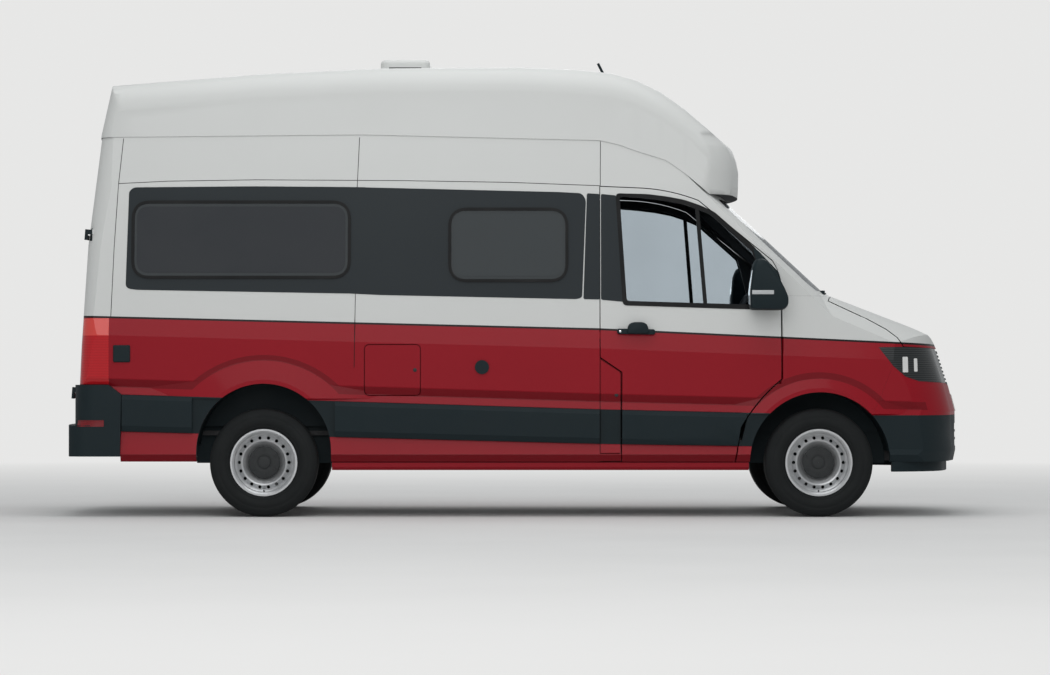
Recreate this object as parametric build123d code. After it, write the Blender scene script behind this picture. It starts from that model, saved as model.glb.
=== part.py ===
from build123d import *
import os
from functools import cache

# A high-roof camper van, right-hand drive, built as its real panels, doors and running gear.
# Millimetres. +X points forward, +Y to the van's left, +Z up. The origin is on the ground at mid length.

# ---- driving dimensions ----
WHEELBASE = 3640
FRONT_OVERHANG = 993
REAR_OVERHANG = 1353
TRACK = 1765
TYRE_RADIUS = 356
TYRE_WIDTH = 235
RIM_RADIUS = 220
SHUT_GAP = 6          # gap round every panel that opens
SEAM = 0.6            # gap between fixed panels
SEAT_GAP = 0.3        # how far a shut lid lies from its rest
WALL = 62             # thickness of a lined side wall or door
GLASS = 5
GLASS_SET_BACK = 5    # how far the glass lies inside the outer skin
ROOF_TOP = 3006
ROOF_WALL = 34

NOSE_X = (WHEELBASE + FRONT_OVERHANG + REAR_OVERHANG) / 2
TAIL_X = -NOSE_X
FRONT_AXLE_X = NOSE_X - FRONT_OVERHANG
REAR_AXLE_X = TAIL_X + REAR_OVERHANG
WHEEL_Y = TRACK / 2
DOOR_REAR_X = FRONT_AXLE_X - 1432
DOOR_FRONT_X = FRONT_AXLE_X - 248
RIGHT, LEFT = -1, 1

# Body lines along the van: height at the tail, at the door's rear edge and at the nose, with the half width.
#    name          half_y  z_tail  z_door  z_nose
BODY_LINES = {
    "foot": (956, 362, 362, 362),
    "tuck": (990, 408, 408, 408),
    "clad_foot": (976, 566, 474, 437),
    "clad_top": (990, 818, 708, 652),
    "groove": (977, 868, 758, 700),
    "wall_foot": (1000, 922, 812, 752),
    "facet_foot": (1003, 1200, 1104, 1010),
    "belt": (982, 1311, 1224, 1112),
    "shoulder": (905, 2180, 2167, 2150),
    "cant": (854, 2600, 2600, 2600),
}
SILL_FOOT = 306
FLOOR_Z = 560
CAB_FLOOR_Z = 500


# ---- small tools for outlines and slabs ----
def outline(start, *steps):
    """A closed face: a step (u, v) is a line to that point, a step (middle, end) an arc through the middle."""
    edges, at = [], start
    for step in steps:
        if isinstance(step[0], tuple):
            edges.append(ThreePointArc(at, step[0], step[1]))
            at = step[1]
        else:
            edges.append(Line(at, step))
            at = step
    if at != start:
        edges.append(Line(at, start))
    return make_face(edges)


def across(face, y_low, y_high):
    """Extrude a side-view face (x, z) from y_low to y_high."""
    return extrude(Plane.XZ.offset(-y_low) * face, -(y_high - y_low))


def along(face, x_low, x_high):
    """Extrude an end-view face (y, z) from x_low to x_high."""
    return extrude(Plane.YZ.offset(x_low) * face, x_high - x_low)


def upward(face, z_low, z_high):
    """Extrude a plan-view face (x, y) from z_low to z_high."""
    return extrude(Plane.XY.offset(z_low) * face, z_high - z_low)


def block(x_low, x_high, y_low, y_high, z_low, z_high):
    size = (x_high - x_low, y_high - y_low, z_high - z_low)
    middle = ((x_high + x_low) / 2, (y_high + y_low) / 2, (z_high + z_low) / 2)
    return Pos(*middle) * Box(*size)


def rod(radius, start, end):
    """A round bar from one point to another."""
    run = Vector(*end) - Vector(*start)
    return extrude(Plane(origin=start, z_dir=run) * Circle(radius), run.length)


def one_side(shape, side):
    """The half of a shape on the van's right (-1) or left (+1)."""
    low, high = (0, 1400) if side == LEFT else (-1400, 0)
    return shape & block(TAIL_X - 200, NOSE_X + 200, low, high, 0, 3400)


def pair(shape):
    """A shape and its mirror image across the centre plane."""
    return [shape, mirror(shape, Plane.XZ)]


def line_z(name, x):
    """Height of a body line at a place along the van."""
    z_tail, z_door, z_nose = BODY_LINES[name][1:]
    if x < DOOR_REAR_X:
        return z_door + (z_tail - z_door) * (DOOR_REAR_X - x) / (DOOR_REAR_X - TAIL_X)
    return z_door + (z_nose - z_door) * (x - DOOR_REAR_X) / (NOSE_X - DOOR_REAR_X)


# ---- the outer form of the body ----
def body_section(x, inset=0):
    right = [(-(row[0] - inset), line_z(name, x)) for name, row in BODY_LINES.items()]
    left = [(-y, z) for y, z in reversed(right)]
    return Plane.YZ.offset(x) * make_face(Polyline(*right, *left, close=True))


def body_hull(inset=0):
    stations = (TAIL_X, DOOR_REAR_X, NOSE_X)
    return loft([body_section(x, inset) for x in stations], ruled=True)


#   z, nose_x, tail_x, half_y: how the ends of the body lean and curve
END_STATIONS = (
    (200, NOSE_X - 50, TAIL_X + 103, 1010),
    (430, NOSE_X - 2, TAIL_X + 95, 1030),
    (690, NOSE_X - 6, TAIL_X + 93, 1030),
    (850, NOSE_X - 48, TAIL_X + 93, 1028),
    (1120, NOSE_X - 135, TAIL_X + 103, 1012),
    (1785, NOSE_X - 135, TAIL_X + 139, 945),
    (2520, NOSE_X - 135, TAIL_X + 224, 872),
    (3100, NOSE_X - 135, TAIL_X + 346, 816),
)


def end_outline(nose_x, tail_x, half_y, inset=0):
    """Plan view with a bowed nose and tail and round corners."""
    nose, tail, half = nose_x - inset, tail_x + inset, half_y - inset
    bow, tail_corner = 80, 135
    return outline(
        (nose - bow, -620),
        ((nose, 0), (nose - bow, 620)),
        ((nose - 205, 0.87 * half), (nose - 470, half)),
        (tail + 45 + tail_corner, half),
        ((tail + 45 + 0.29 * tail_corner, half - 0.29 * tail_corner), (tail + 45, half - tail_corner)),
        ((tail, 0), (tail + 45, tail_corner - half)),
        ((tail + 45 + 0.29 * tail_corner, 0.29 * tail_corner - half), (tail + 45 + tail_corner, -half)),
        (nose - 470, -half),
        ((nose - 205, -0.87 * half), (nose - bow, -620)),
    )


def end_form(inset=0):
    faces = [Plane.XY.offset(z) * end_outline(nose, tail, half, inset) for z, nose, tail, half in END_STATIONS]
    return loft(faces, ruled=True)


# The windscreen is part of a bowed surface that leans back; the bonnet is a crowned one that falls forward.
SCREEN_FOOT = (FRONT_AXLE_X + 128, 1462)
SCREEN_LEAN = 1.08            # how far back for each millimetre up
SCREEN_BOW = 128
BONNET_REAR_TOP = (FRONT_AXLE_X + 130, 1466)
BONNET_FALL = 0.385


def screen_form(inset=0):
    """Everything behind the windscreen's surface."""
    low = 300
    foot_x = SCREEN_FOOT[0] - inset * 1.4 + (SCREEN_FOOT[1] - low) * SCREEN_LEAN
    face = outline(
        (foot_x - SCREEN_BOW, -870),
        ((foot_x, 0), (foot_x - SCREEN_BOW, 870)),
        (foot_x - SCREEN_BOW - 150, 1100),
        (TAIL_X - 3000, 1100),
        (TAIL_X - 3000, -1100),
        (foot_x - SCREEN_BOW - 150, -1100),
    )
    rise = 2700 - low
    run = Vector(-SCREEN_LEAN * rise, 0, rise)
    return extrude(Plane.XY.offset(low) * face, run.length, dir=run)


def bonnet_form(inset=0):
    """Everything under the bonnet's surface."""
    start_x = FRONT_AXLE_X - 500
    top = BONNET_REAR_TOP[1] - inset + (BONNET_REAR_TOP[0] - start_x) * BONNET_FALL
    run = Vector(NOSE_X + 100 - start_x, 0, -BONNET_FALL * (NOSE_X + 100 - start_x))
    edge = 1003 - inset
    face = outline(
        (-700, top - 34),
        ((0, top), (700, top - 34)),
        ((880, top - 84), (edge, top - 220)),
        (edge + 60, top - 600),
        (edge + 60, -800),
        (-edge - 60, -800),
        (-edge - 60, top - 600),
        (-edge, top - 220),
        ((-880, top - 84), (-700, top - 34)),
    )
    return extrude(Plane.YZ.offset(start_x) * face, run.length, dir=run)


def nose_form(inset=0):
    """The rounded fall from the bonnet to the grille, seen from the side."""
    x = FRONT_AXLE_X
    return across(
        outline(
            (x - 3800, 2700),
            (x - 3800, 250),
            (x + 1100, 250),
            (x + 1100 - inset, 600),
            (x + 945 - inset, 840),
            (x + 868 - inset, 1075 - inset),
            ((x + 782 - inset, 1160 - inset), (x + 640 - inset, 1256 - inset)),
            (x + 100, 1560 - inset),
            (x - 300, 2700),
        ),
        -1100,
        1100,
    )


@cache
def van_form(inset=0):
    front = screen_form(inset) + (bonnet_form(inset) & nose_form(inset))
    return body_hull(inset) & end_form(inset) & front


def below_seam(gap=0.0):
    """Side view of everything under the line where the high roof sits on the steel body."""
    x = FRONT_AXLE_X
    return across(
        outline(
            (TAIL_X - 200, 0),
            (NOSE_X + 200, 0),
            (NOSE_X + 200, 2122 - gap),
            (x - 715, 2122 - gap),
            (x - 830, 2221 - gap),
            ((x - 920, 2290 - gap), (x - 1000, 2345 - gap)),
            (x - 1200, 2407 - gap),
            (x - 1310, 2448 - gap),
            (DOOR_REAR_X, 2476 - gap),
            (x - 3000, 2514 - gap),
            (TAIL_X - 200, 2492 - gap),
        ),
        -1100,
        1100,
    )


# The crown of the high roof along the van: x, height at the middle.
ROOF_CROWN = (
    (TAIL_X - 50, ROOF_TOP - 156),
    (FRONT_AXLE_X - 3700, ROOF_TOP - 46),
    (FRONT_AXLE_X - 2900, ROOF_TOP - 7),
    (FRONT_AXLE_X - 1960, ROOF_TOP),
    (FRONT_AXLE_X - 1560, ROOF_TOP - 18),
    (FRONT_AXLE_X - 1350, ROOF_TOP - 40),
    (FRONT_AXLE_X - 1190, ROOF_TOP - 85),
    (FRONT_AXLE_X - 1030, ROOF_TOP - 165),
    (FRONT_AXLE_X - 870, ROOF_TOP - 279),
    (FRONT_AXLE_X - 630, ROOF_TOP - 489),
    (FRONT_AXLE_X - 400, ROOF_TOP - 640),
)
# How far forward the roof's bowed front reaches at each height: z, x.
ROOF_FRONT = (
    (2000, FRONT_AXLE_X - 490),
    (2192, FRONT_AXLE_X - 478),
    (2294, FRONT_AXLE_X - 476),
    (2369, FRONT_AXLE_X - 490),
    (2440, FRONT_AXLE_X - 516),
    (2520, FRONT_AXLE_X - 588),
    (3100, FRONT_AXLE_X - 300),
)
ROOF_FOOT = 2000
ROOF_HALF = 927               # half width at the foot
ROOF_WALL_LEAN = 0.114        # how far in for each millimetre up


def roof_section(x, top, inset):
    def wall_y(z):
        return ROOF_HALF - inset - (z - ROOF_FOOT) * ROOF_WALL_LEAN

    low, mid, high = top - 227, top - 104 + 0.3 * inset, top - 34
    return Plane.YZ.offset(x) * outline(
        (-wall_y(ROOF_FOOT), ROOF_FOOT),
        (-wall_y(low), low),
        ((36 - wall_y(low), mid), (150 - wall_y(low), high)),
        ((0, top), (wall_y(low) - 150, high)),
        ((wall_y(low) - 36, mid), (wall_y(low), low)),
        (wall_y(ROOF_FOOT), ROOF_FOOT),
    )


def roof_form(inset=0):
    """The high roof: rounded shoulders, a crown that falls to both ends, and a bowed front over the windscreen."""
    crowned = loft([roof_section(x - inset, top - inset, inset) for x, top in ROOF_CROWN], ruled=True)
    tail = outline(
        (TAIL_X + 150, ROOF_FOOT),
        (TAIL_X + 150, 2600),
        (TAIL_X + 275 + inset, 2745),
        ((TAIL_X + 318 + inset, 2840 - inset), (TAIL_X + 440, 2900 - inset)),
        (TAIL_X + 800, 3100),
        (NOSE_X, 3100),
        (NOSE_X, ROOF_FOOT),
    )
    fronts = []
    for z, x in ROOF_FRONT:
        foot_x = x - inset
        fronts.append(Plane.XY.offset(z) * outline(
            (foot_x - 60, -600),
            ((foot_x, 0), (foot_x - 60, 600)),
            ((foot_x - 125, 790), (foot_x - 330, 930)),
            (TAIL_X - 200, 930),
            (TAIL_X - 200, -930),
            (foot_x - 330, -930),
            ((foot_x - 125, -790), (foot_x - 60, -600)),
        ))
    return crowned & across(tail, -1000, 1000) & loft(fronts, ruled=True) & end_form(inset - 6)


# ---- the lines where panels part ----
def front_door_face():
    x, rear = FRONT_AXLE_X, DOOR_REAR_X
    return outline(
        (rear, 2169),
        (rear + 280, 2157),
        ((x - 955, 2128), (x - 788, 2076)),
        (x - 305, 1680),
        ((x - 262, 1590), (DOOR_FRONT_X, 1450)),
        (DOOR_FRONT_X, 905),
        ((x - 408, 745), (x - 514, 589)),
        (x - 552, 362),
        (rear + 141, 362),
        (rear + 143, 950),
        (rear, 1048),
    )


def door_glass_face():
    x, rear = FRONT_AXLE_X, DOOR_REAR_X
    return outline(
        (rear + 118, 2107),
        (rear + 303, 2101),
        ((x - 890, 2065), (x - 702, 1991)),
        (x - 425, 1745),
        (x - 330, 1380),
        (rear + 167, 1409),
    )


def bonnet_face():
    x = FRONT_AXLE_X
    return outline(
        (x - 60, 1450),
        (x + 40, 1436),
        (x + 160, 1379),
        (x + 332, 1298),
        (x + 449, 1233),
        (x + 519, 1178),
        (x + 560, 1118),
        (NOSE_X + 50, 1096),
        (NOSE_X + 50, 1800),
        (x - 60, 1800),
    )


def headlamp_face():
    x = FRONT_AXLE_X
    return outline(
        (x + 391, 1112),
        (x + 485, 990),
        (x + 567, 920),
        (x + 660, 890),
        (NOSE_X + 50, 868),
        (NOSE_X + 50, 1093),
        (x + 560, 1115),
    )


def bumper_face():
    x = FRONT_AXLE_X
    return outline(
        (x + 300, 250),
        (NOSE_X + 50, 250),
        (NOSE_X + 50, 865),
        (x + 660, 887),
        (x + 566, 917),
        (x + 482, 988),
        (x + 392, 760),
        (x + 300, 600),
    )


def tail_bumper_face():
    return outline(
        (TAIL_X + 410, 250),
        (TAIL_X + 422, 803),
        (TAIL_X + 339, 866),
        (TAIL_X - 50, 866),
        (TAIL_X - 50, 250),
    )


# Round-cornered openings in the side walls: front and rear edge, foot, top, corner radius.
CORNER = 88
REAR_WINDOW = (TAIL_X + 487, TAIL_X + 1916, 1568, 2072)
SIDE_WINDOW = (DOOR_REAR_X - 993, DOOR_REAR_X - 216, 1546, 2025)
CASSETTE_FLAP = (REAR_AXLE_X + 664, REAR_AXLE_X + 1025, 799, 1127)


def round_box(x_low, x_high, z_low, z_high, radius=CORNER):
    middle = ((x_low + x_high) / 2, (z_low + z_high) / 2)
    return Pos(*middle) * RectangleRounded(x_high - x_low, z_high - z_low, radius)


def fuel_flap_face(drop=0):
    rear = DOOR_REAR_X
    return outline(
        (rear, 420), (rear + 130, 420), (rear + 130, 944 - drop), (rear + 120, 959 - drop), (rear, 1036 - drop))


# Round wheel arches: the opening, and the flare that stands proud round it.
#                 x, z, opening radius, flare radius
FRONT_ARCH = (FRONT_AXLE_X + 8, 358, 460, 572)
REAR_ARCH = (REAR_AXLE_X, 432, 442, 645)
FLARE_TOP = 1014


def arch_opening(arch, side, depth):
    x, z, radius, _ = arch
    y_low, y_high = (1100 - depth, 1100) if side == LEFT else (-1100, depth - 1100)
    disc = across(Pos(x, z) * Circle(radius), y_low, y_high)
    return disc + block(x - radius, x + radius, y_low, y_high, -50, z)


def arch_flare(arch, side):
    x, z, radius, flare = arch
    crest = radius + 26
    cone = Pos(x, side * (960 + FLARE_TOP) / 2, z) * Rot(side * -90, 0, 0) * Cone(
        flare + (flare - crest) * 2.2, crest, FLARE_TOP - 960
    )
    return cone & block(x - flare - 200, x + flare + 200, -1100, 1100, line_z("clad_top", x), 2000)


# ---- the two skins that every panel is cut from ----
outer = van_form()
inner = van_form(WALL)
shell = (outer - inner) & below_seam()


def glass_layer(depth=GLASS_SET_BACK):
    return van_form(depth) - van_form(depth + GLASS)


glass_skin = glass_layer()
parts = {}


# ---- front doors ----
# The hinges stand just inside the outer skin, and the wing is relieved round the corner that swings past it.
HINGE_X = DOOR_FRONT_X - 18
HINGE_Y = 986
HINGE_RELIEF = ((24, 872, 905), (34, 905, 1475))    # radius, foot, top
WING_GAP = 9                                        # between a door and its wing
REBATE_DEPTH, REBATE = 24, 12                       # the door's inner frame is set in from its rear edge
door_face = front_door_face()
door_solid = across(door_face, -1100, 1100)
door_hole = across(offset(door_face, SHUT_GAP), -1100, 1100)
door_hole += block(DOOR_REAR_X + 134, FRONT_AXLE_X - 545, -1100, 1100, 200, 370)
glass_hole = across(door_glass_face(), -1100, 1100)
for side, name in ((RIGHT, "right"), (LEFT, "left")):
    skin = one_side(shell, side)
    rebate = one_side(van_form(REBATE_DEPTH), side) & block(
        DOOR_REAR_X - 10, DOOR_REAR_X + REBATE, -1100, 1100, 1040, 2200)
    door = skin & door_solid - glass_hole - rebate
    parts["front_door_" + name] = door + (arch_flare(FRONT_ARCH, side) & door_solid) - inner
    parts["door_glass_" + name] = one_side(glass_skin, side) & glass_hole
hinge_relief = []
for side in (RIGHT, LEFT):
    for radius, low_z, high_z in HINGE_RELIEF:
        hinge_relief.append(rod(radius, (HINGE_X, side * HINGE_Y, low_z), (HINGE_X, side * HINGE_Y, high_z)))

# ---- bonnet, front wings, lamps, grille and bumper ----
BONNET_WALL = 30
BONNET_REAR_X = FRONT_AXLE_X + 152
GRILLE_HALF = 492
bonnet_plan = outline(
    (BONNET_REAR_X - 82, -880),
    ((BONNET_REAR_X, 0), (BONNET_REAR_X - 82, 880)),
    (BONNET_REAR_X - 120, 1100),
    (NOSE_X + 100, 1100),
    (NOSE_X + 100, -1100),
    (BONNET_REAR_X - 120, -1100),
)
bonnet_solid = across(bonnet_face(), -1100, 1100) & upward(bonnet_plan, 900, 1800)
bonnet_hole = across(offset(bonnet_face(), SHUT_GAP), -1100, 1100) & upward(offset(bonnet_plan, SHUT_GAP), 880, 1810)
parts["bonnet"] = (outer - van_form(BONNET_WALL)) & bonnet_solid

lamp_skin = outer - van_form(95)
lamp_side = across(headlamp_face(), -1100, 1100)
lamp_block = block(FRONT_AXLE_X + 300, NOSE_X + 100, GRILLE_HALF + SEAM, 1100, 800, 1200)
parts["headlamps"] = Part() + [lamp & lamp_skin for lamp in pair(lamp_side & lamp_block)]
lamp_hole = Part() + pair(across(offset(headlamp_face(), SEAM), -1100, 1100) & block(
    FRONT_AXLE_X + 300, NOSE_X + 100, GRILLE_HALF, 1100, 800, 1200))

GRILLE_FOOT, GRILLE_TOP, GRILLE_FRAME = 868, 1090, 16
grille_block = block(NOSE_X - 500, NOSE_X + 50, -GRILLE_HALF, GRILLE_HALF, GRILLE_FOOT, GRILLE_TOP)
grille_open = block(
    NOSE_X - 500, NOSE_X + 50, -GRILLE_HALF + GRILLE_FRAME, GRILLE_HALF - GRILLE_FRAME,
    GRILLE_FOOT + GRILLE_FRAME, GRILLE_TOP - GRILLE_FRAME,
)
GRILLE_SLATS, SLAT_THICK = 7, 13
slat_pitch = (GRILLE_TOP - GRILLE_FOOT - 2 * GRILLE_FRAME) / (GRILLE_SLATS + 0.5)
slats = [
    block(NOSE_X - 500, NOSE_X + 50, -GRILLE_HALF, GRILLE_HALF, z, z + SLAT_THICK)
    for z in [GRILLE_FOOT + GRILLE_FRAME + slat_pitch * (i + 0.5) for i in range(GRILLE_SLATS)]
]
grille_skin = outer - van_form(45)
parts["grille"] = grille_skin & ((grille_block - grille_open) + slats)
grille_hole = block(
    NOSE_X - 500, NOSE_X + 50, -GRILLE_HALF - SEAM, GRILLE_HALF + SEAM, GRILLE_FOOT - SEAM, GRILLE_TOP + SEAM
)

front_arches = [arch_opening(FRONT_ARCH, side, 560) for side in (RIGHT, LEFT)]
rear_arches = [arch_opening(REAR_ARCH, side, 560) for side in (RIGHT, LEFT)]
front_flares = [arch_flare(FRONT_ARCH, side) for side in (RIGHT, LEFT)]
rear_flares = [arch_flare(REAR_ARCH, side) for side in (RIGHT, LEFT)]

BUMPER_SPLIT = 666
bumper_solid = across(bumper_face(), -1100, 1100)
bumper_skin = (outer - inner) + [flare - inner for flare in front_flares]
bumper = (bumper_skin & bumper_solid) - front_arches - grille_hole
parts["front_bumper"] = bumper & block(0, NOSE_X + 50, -1100, 1100, BUMPER_SPLIT + SEAM, 1100)
LIP_FOOT = 296
lip = upward(end_outline(NOSE_X - 62, TAIL_X, 965), LIP_FOOT, 362) - upward(
    end_outline(NOSE_X - 62 - WALL, TAIL_X, 965 - WALL), LIP_FOOT - 10, 372
)
lip = lip & block(FRONT_AXLE_X + 480, NOSE_X + 50, -1100, 1100, 0, 400)
lower = bumper & block(0, NOSE_X + 50, -1100, 1100, 0, BUMPER_SPLIT)
INTAKE = (-430, 430, 452, 610)
intake = along(Pos((INTAKE[0] + INTAKE[1]) / 2, (INTAKE[2] + INTAKE[3]) / 2) * RectangleRounded(
    INTAKE[1] - INTAKE[0], INTAKE[3] - INTAKE[2], 40), NOSE_X - 400, NOSE_X + 50)
intake_bars = [
    block(NOSE_X - 300, NOSE_X + 50, INTAKE[0], INTAKE[1], z, z + 14) & bumper
    for z in (INTAKE[2] + 46, INTAKE[2] + 98)
]
parts["bumper_valance"] = lower - intake + intake_bars + lip
bumper_hole = across(offset(bumper_face(), SEAM), -1100, 1100)

WING_TOP = 1450
wing_zone = block(FRONT_AXLE_X - 570, NOSE_X, -1100, 1100, 362, WING_TOP) & across(
    outline((FRONT_AXLE_X - 570, 300), (NOSE_X, 300), (NOSE_X, 1500), (DOOR_FRONT_X, 1500),
            (DOOR_FRONT_X, 500), (FRONT_AXLE_X - 570, 500)), -1100, 1100)
wing_zone += across(outline((DOOR_FRONT_X - 260, 490), (DOOR_FRONT_X + 5, 490), (DOOR_FRONT_X + 5, 905),
                            (DOOR_FRONT_X - 160, 905)), -1100, 1100)
wing_skin = (outer - inner) + [flare - inner for flare in front_flares]
wings = (wing_skin & wing_zone) - across(offset(door_face, WING_GAP), -1100, 1100)
wings = wings - bonnet_hole - bumper_hole - lamp_hole - grille_hole
wings = wings - front_arches - hinge_relief
wings = wings - block(FRONT_AXLE_X - 600, NOSE_X, -780, 780, 1080, 1500)
wings = wings & (Part() + pair(block(FRONT_AXLE_X - 600, NOSE_X, 500, 1100, 300, 1500)))
BUFFER_X = FRONT_AXLE_X + 300
buffer_gap = across(offset(bonnet_face(), SHUT_GAP + 1) - offset(bonnet_face(), SEAT_GAP), -1100, 1100)
buffer_layer = (van_form(8) - van_form(26)) & buffer_gap
parts["front_wings"] = wings + (buffer_layer & (Part() + pair(block(BUFFER_X - 15, BUFFER_X + 15, 850, 1100, 1100, 1500))))

# ---- cab frame, windscreen and bulkhead ----
screen_face = make_face(FilletPolyline((-832, 1486), (832, 1486), (772, 2096), (-772, 2096), radius=70, close=True))
screen_hole = along(screen_face, FRONT_AXLE_X - 760, FRONT_AXLE_X + 240)
parts["windscreen"] = glass_skin & screen_hole
cab_zone = block(DOOR_REAR_X + SEAM, NOSE_X, -1100, 1100, WING_TOP + SEAM, 2600)
cab_zone += block(DOOR_FRONT_X + 40, BONNET_REAR_X + 60, -778, 778, 1400, WING_TOP + SEAM)
frame_skin = (outer - inner) & below_seam(SEAM / 2)
parts["cab_frame"] = (frame_skin & cab_zone) - door_hole - screen_hole - bonnet_hole
BULKHEAD_X = FRONT_AXLE_X - 118
WELL_TOP = 900
bulkhead_block = block(BULKHEAD_X - 20, BULKHEAD_X, -768, 768, WELL_TOP, 1500)
bulkhead_block += block(BULKHEAD_X - 20, BULKHEAD_X, -540, 540, CAB_FLOOR_Z, WELL_TOP)
parts["bulkhead"] = inner & bulkhead_block

# ---- rear doors and lamps ----
REAR_DOOR_FOOT, REAR_DOOR_TOP = 612, 2400
REAR_DOOR_RISE = 5            # extra gap over the doors, which rise a little as they swing
REAR_DOOR_EDGES = ((REAR_DOOR_FOOT, 862), (1224, 848), (REAR_DOOR_TOP, 752))
rear_door_face = make_face(Polyline(
    (SHUT_GAP / 2, REAR_DOOR_FOOT), *[(y, z) for z, y in REAR_DOOR_EDGES], (SHUT_GAP / 2, REAR_DOOR_TOP), close=True))
rear_zone = (TAIL_X - 50, TAIL_X + 420)
REAR_GLASS = (118, 655, 1540, 2080)
rear_glass_face = round_box(*REAR_GLASS, 70)
rear_hole_face = make_face(Polyline(
    *[(y + SHUT_GAP, z) for z, y in REAR_DOOR_EDGES[1:2]],
    (REAR_DOOR_EDGES[2][1] + SHUT_GAP, REAR_DOOR_TOP + SHUT_GAP), (-50, REAR_DOOR_TOP + SHUT_GAP),
    (-50, REAR_DOOR_FOOT - SHUT_GAP), (REAR_DOOR_EDGES[0][1] + SHUT_GAP, REAR_DOOR_FOOT - SHUT_GAP), close=True))
rear_hole = Part() + pair(along(rear_hole_face, *rear_zone))
door_left = shell & along(rear_door_face, *rear_zone) - along(rear_glass_face, *rear_zone)
door_left = door_left & block(TAIL_X, TAIL_X + 500, 0, 1100, 0, REAR_DOOR_TOP - REAR_DOOR_RISE)
glass_left = glass_skin & along(rear_glass_face, *rear_zone)
parts["rear_door_left"], parts["rear_door_right"] = pair(door_left)
parts["rear_glass_left"], parts["rear_glass_right"] = pair(glass_left)

# The rear doors' hinges stand outside the corner: foot and top of each, on an axis that leans with the doors.
REAR_HINGE_Y, REAR_HINGE_LEAN = 872, 0.0806
REAR_HINGES = ((775, 851), (1820, 1890))
BARREL = 11
LEAF_SET_IN = 2


def rear_axis_x(z):
    return TAIL_X + 177 + (z - 1854) * REAR_HINGE_LEAN


body_hinges = []
for foot, top in REAR_HINGES:
    middle = (foot + top) / 2
    edge_y = REAR_DOOR_EDGES[0][1] if middle < 1224 else 797
    for low, high, leaf_y, reach in (
        (foot, middle - SEAT_GAP, (edge_y - 60, REAR_HINGE_Y + 4), (edge_y - 60, edge_y - 30)),
        (middle, top, (REAR_HINGE_Y - 6, REAR_HINGE_Y + 20), (REAR_HINGE_Y - 6, REAR_HINGE_Y + 20)),
    ):
        ends = [(rear_axis_x(z), REAR_HINGE_Y, z) for z in (low, high)]
        x = rear_axis_x(low)
        leaf = rod(BARREL, *ends)
        leaf += block(x - 2, x + 8, *leaf_y, low + LEAF_SET_IN, high - LEAF_SET_IN)
        leaf += block(x - 2, x + 75, *reach, low + LEAF_SET_IN, high - LEAF_SET_IN)
        if low == foot:
            door_leaf = leaf - inner
            for side, name in ((LEFT, "left"), (RIGHT, "right")):
                turned = door_leaf if side == LEFT else mirror(door_leaf, Plane.XZ)
                parts["rear_door_" + name] += turned
        else:
            body_hinges.append(leaf - inner)

LAMP_FRONT_X = TAIL_X + 339
LAMP_FOOT = 871
lamp_top = line_z("belt", LAMP_FRONT_X)
lamp_left = block(TAIL_X - 50, LAMP_FRONT_X, REAR_DOOR_EDGES[0][1] + SHUT_GAP + 4, 1100, LAMP_FOOT, lamp_top)
tail_skin = outer - van_form(48)
parts["tail_lamps"] = Part() + [lamp & tail_skin for lamp in pair(lamp_left)]
tail_lamp_hole = Part() + pair(block(
    TAIL_X - 50, LAMP_FRONT_X + SEAM, REAR_DOOR_EDGES[0][1] + SHUT_GAP, 1100, LAMP_FOOT - SEAM, lamp_top + SEAM))

# ---- side walls, sliding door, windows, flaps ----
SLIDE_REAR_X = DOOR_REAR_X - 1308
SLIDE_FRONT_X = DOOR_REAR_X - 30
slide_face = outline((SLIDE_REAR_X, 366), (SLIDE_FRONT_X, 366), (SLIDE_FRONT_X, 2162),
                     (SLIDE_REAR_X + 40, 2182), ((SLIDE_REAR_X + 12, 2170), (SLIDE_REAR_X, 2142)))
slide_solid = across(slide_face, 0, 1100)
SLIDE_GAP = 4
slide_hole = across(offset(slide_face, SLIDE_GAP), 0, 1100)
window_holes = [across(round_box(*window), -1100, 1100) for window in (REAR_WINDOW, SIDE_WINDOW)]
flap_solids = {
    "cassette_flap": across(round_box(*CASSETTE_FLAP, 28), -1100, -900),
    "fuel_flap": across(fuel_flap_face(6), -1100, -900),
}
FLAP_THICK, FLAP_EDGE = 22, 8
flap_pocket = van_form(FLAP_THICK + 8)
flap_skin = (outer - van_form(FLAP_THICK)) & below_seam()
flap_holes = [
    across(offset(round_box(*CASSETTE_FLAP, 28), SHUT_GAP), -1100, -900) - flap_pocket,
    across(offset(fuel_flap_face(), SHUT_GAP), -1100, -900) - flap_pocket,
]
for name, solid in flap_solids.items():
    parts[name] = flap_skin & solid
# The fuel flap is thin by the upper end of its hinge, where its back swings past the door.
parts["fuel_flap"] -= van_form(FLAP_EDGE) & block(DOOR_REAR_X - 10, DOOR_REAR_X + 60, -1100, 0, 950, 1100)

tail_bumper_hole = across(offset(tail_bumper_face(), SEAM), -1100, 1100)
wall_zone = block(TAIL_X - 50, DOOR_REAR_X, -1100, 1100, 362, 2600)
wall_zone += block(DOOR_REAR_X - 10, DOOR_REAR_X + 150, -1100, 1100, 366, 1100)
wall_skin = (outer - inner) + [flare - inner for flare in rear_flares]
walls = (wall_skin & wall_zone & below_seam(SEAM / 2)) - door_hole - rear_hole - tail_lamp_hole - tail_bumper_hole
walls = walls - rear_arches - window_holes
walls = walls - block(TAIL_X - 50, TAIL_X + 420, -870, 870, 300, 620)
HEADER_HALF = 740
walls = walls - block(TAIL_X - 50, TAIL_X + 420, -HEADER_HALF, HEADER_HALF, 2380, 2600)
# Rubber rests behind the free edge of each flap: x, z.
FLAP_RESTS = ((CASSETTE_FLAP[1] - 40, 960), (DOOR_REAR_X + 104, 620))
rest_layer = van_form(FLAP_THICK + SEAT_GAP) - flap_pocket
rests = [rest_layer & block(x - 10, x + 10, -1100, 0, z - 10, z + 10) for x, z in FLAP_RESTS]
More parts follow.
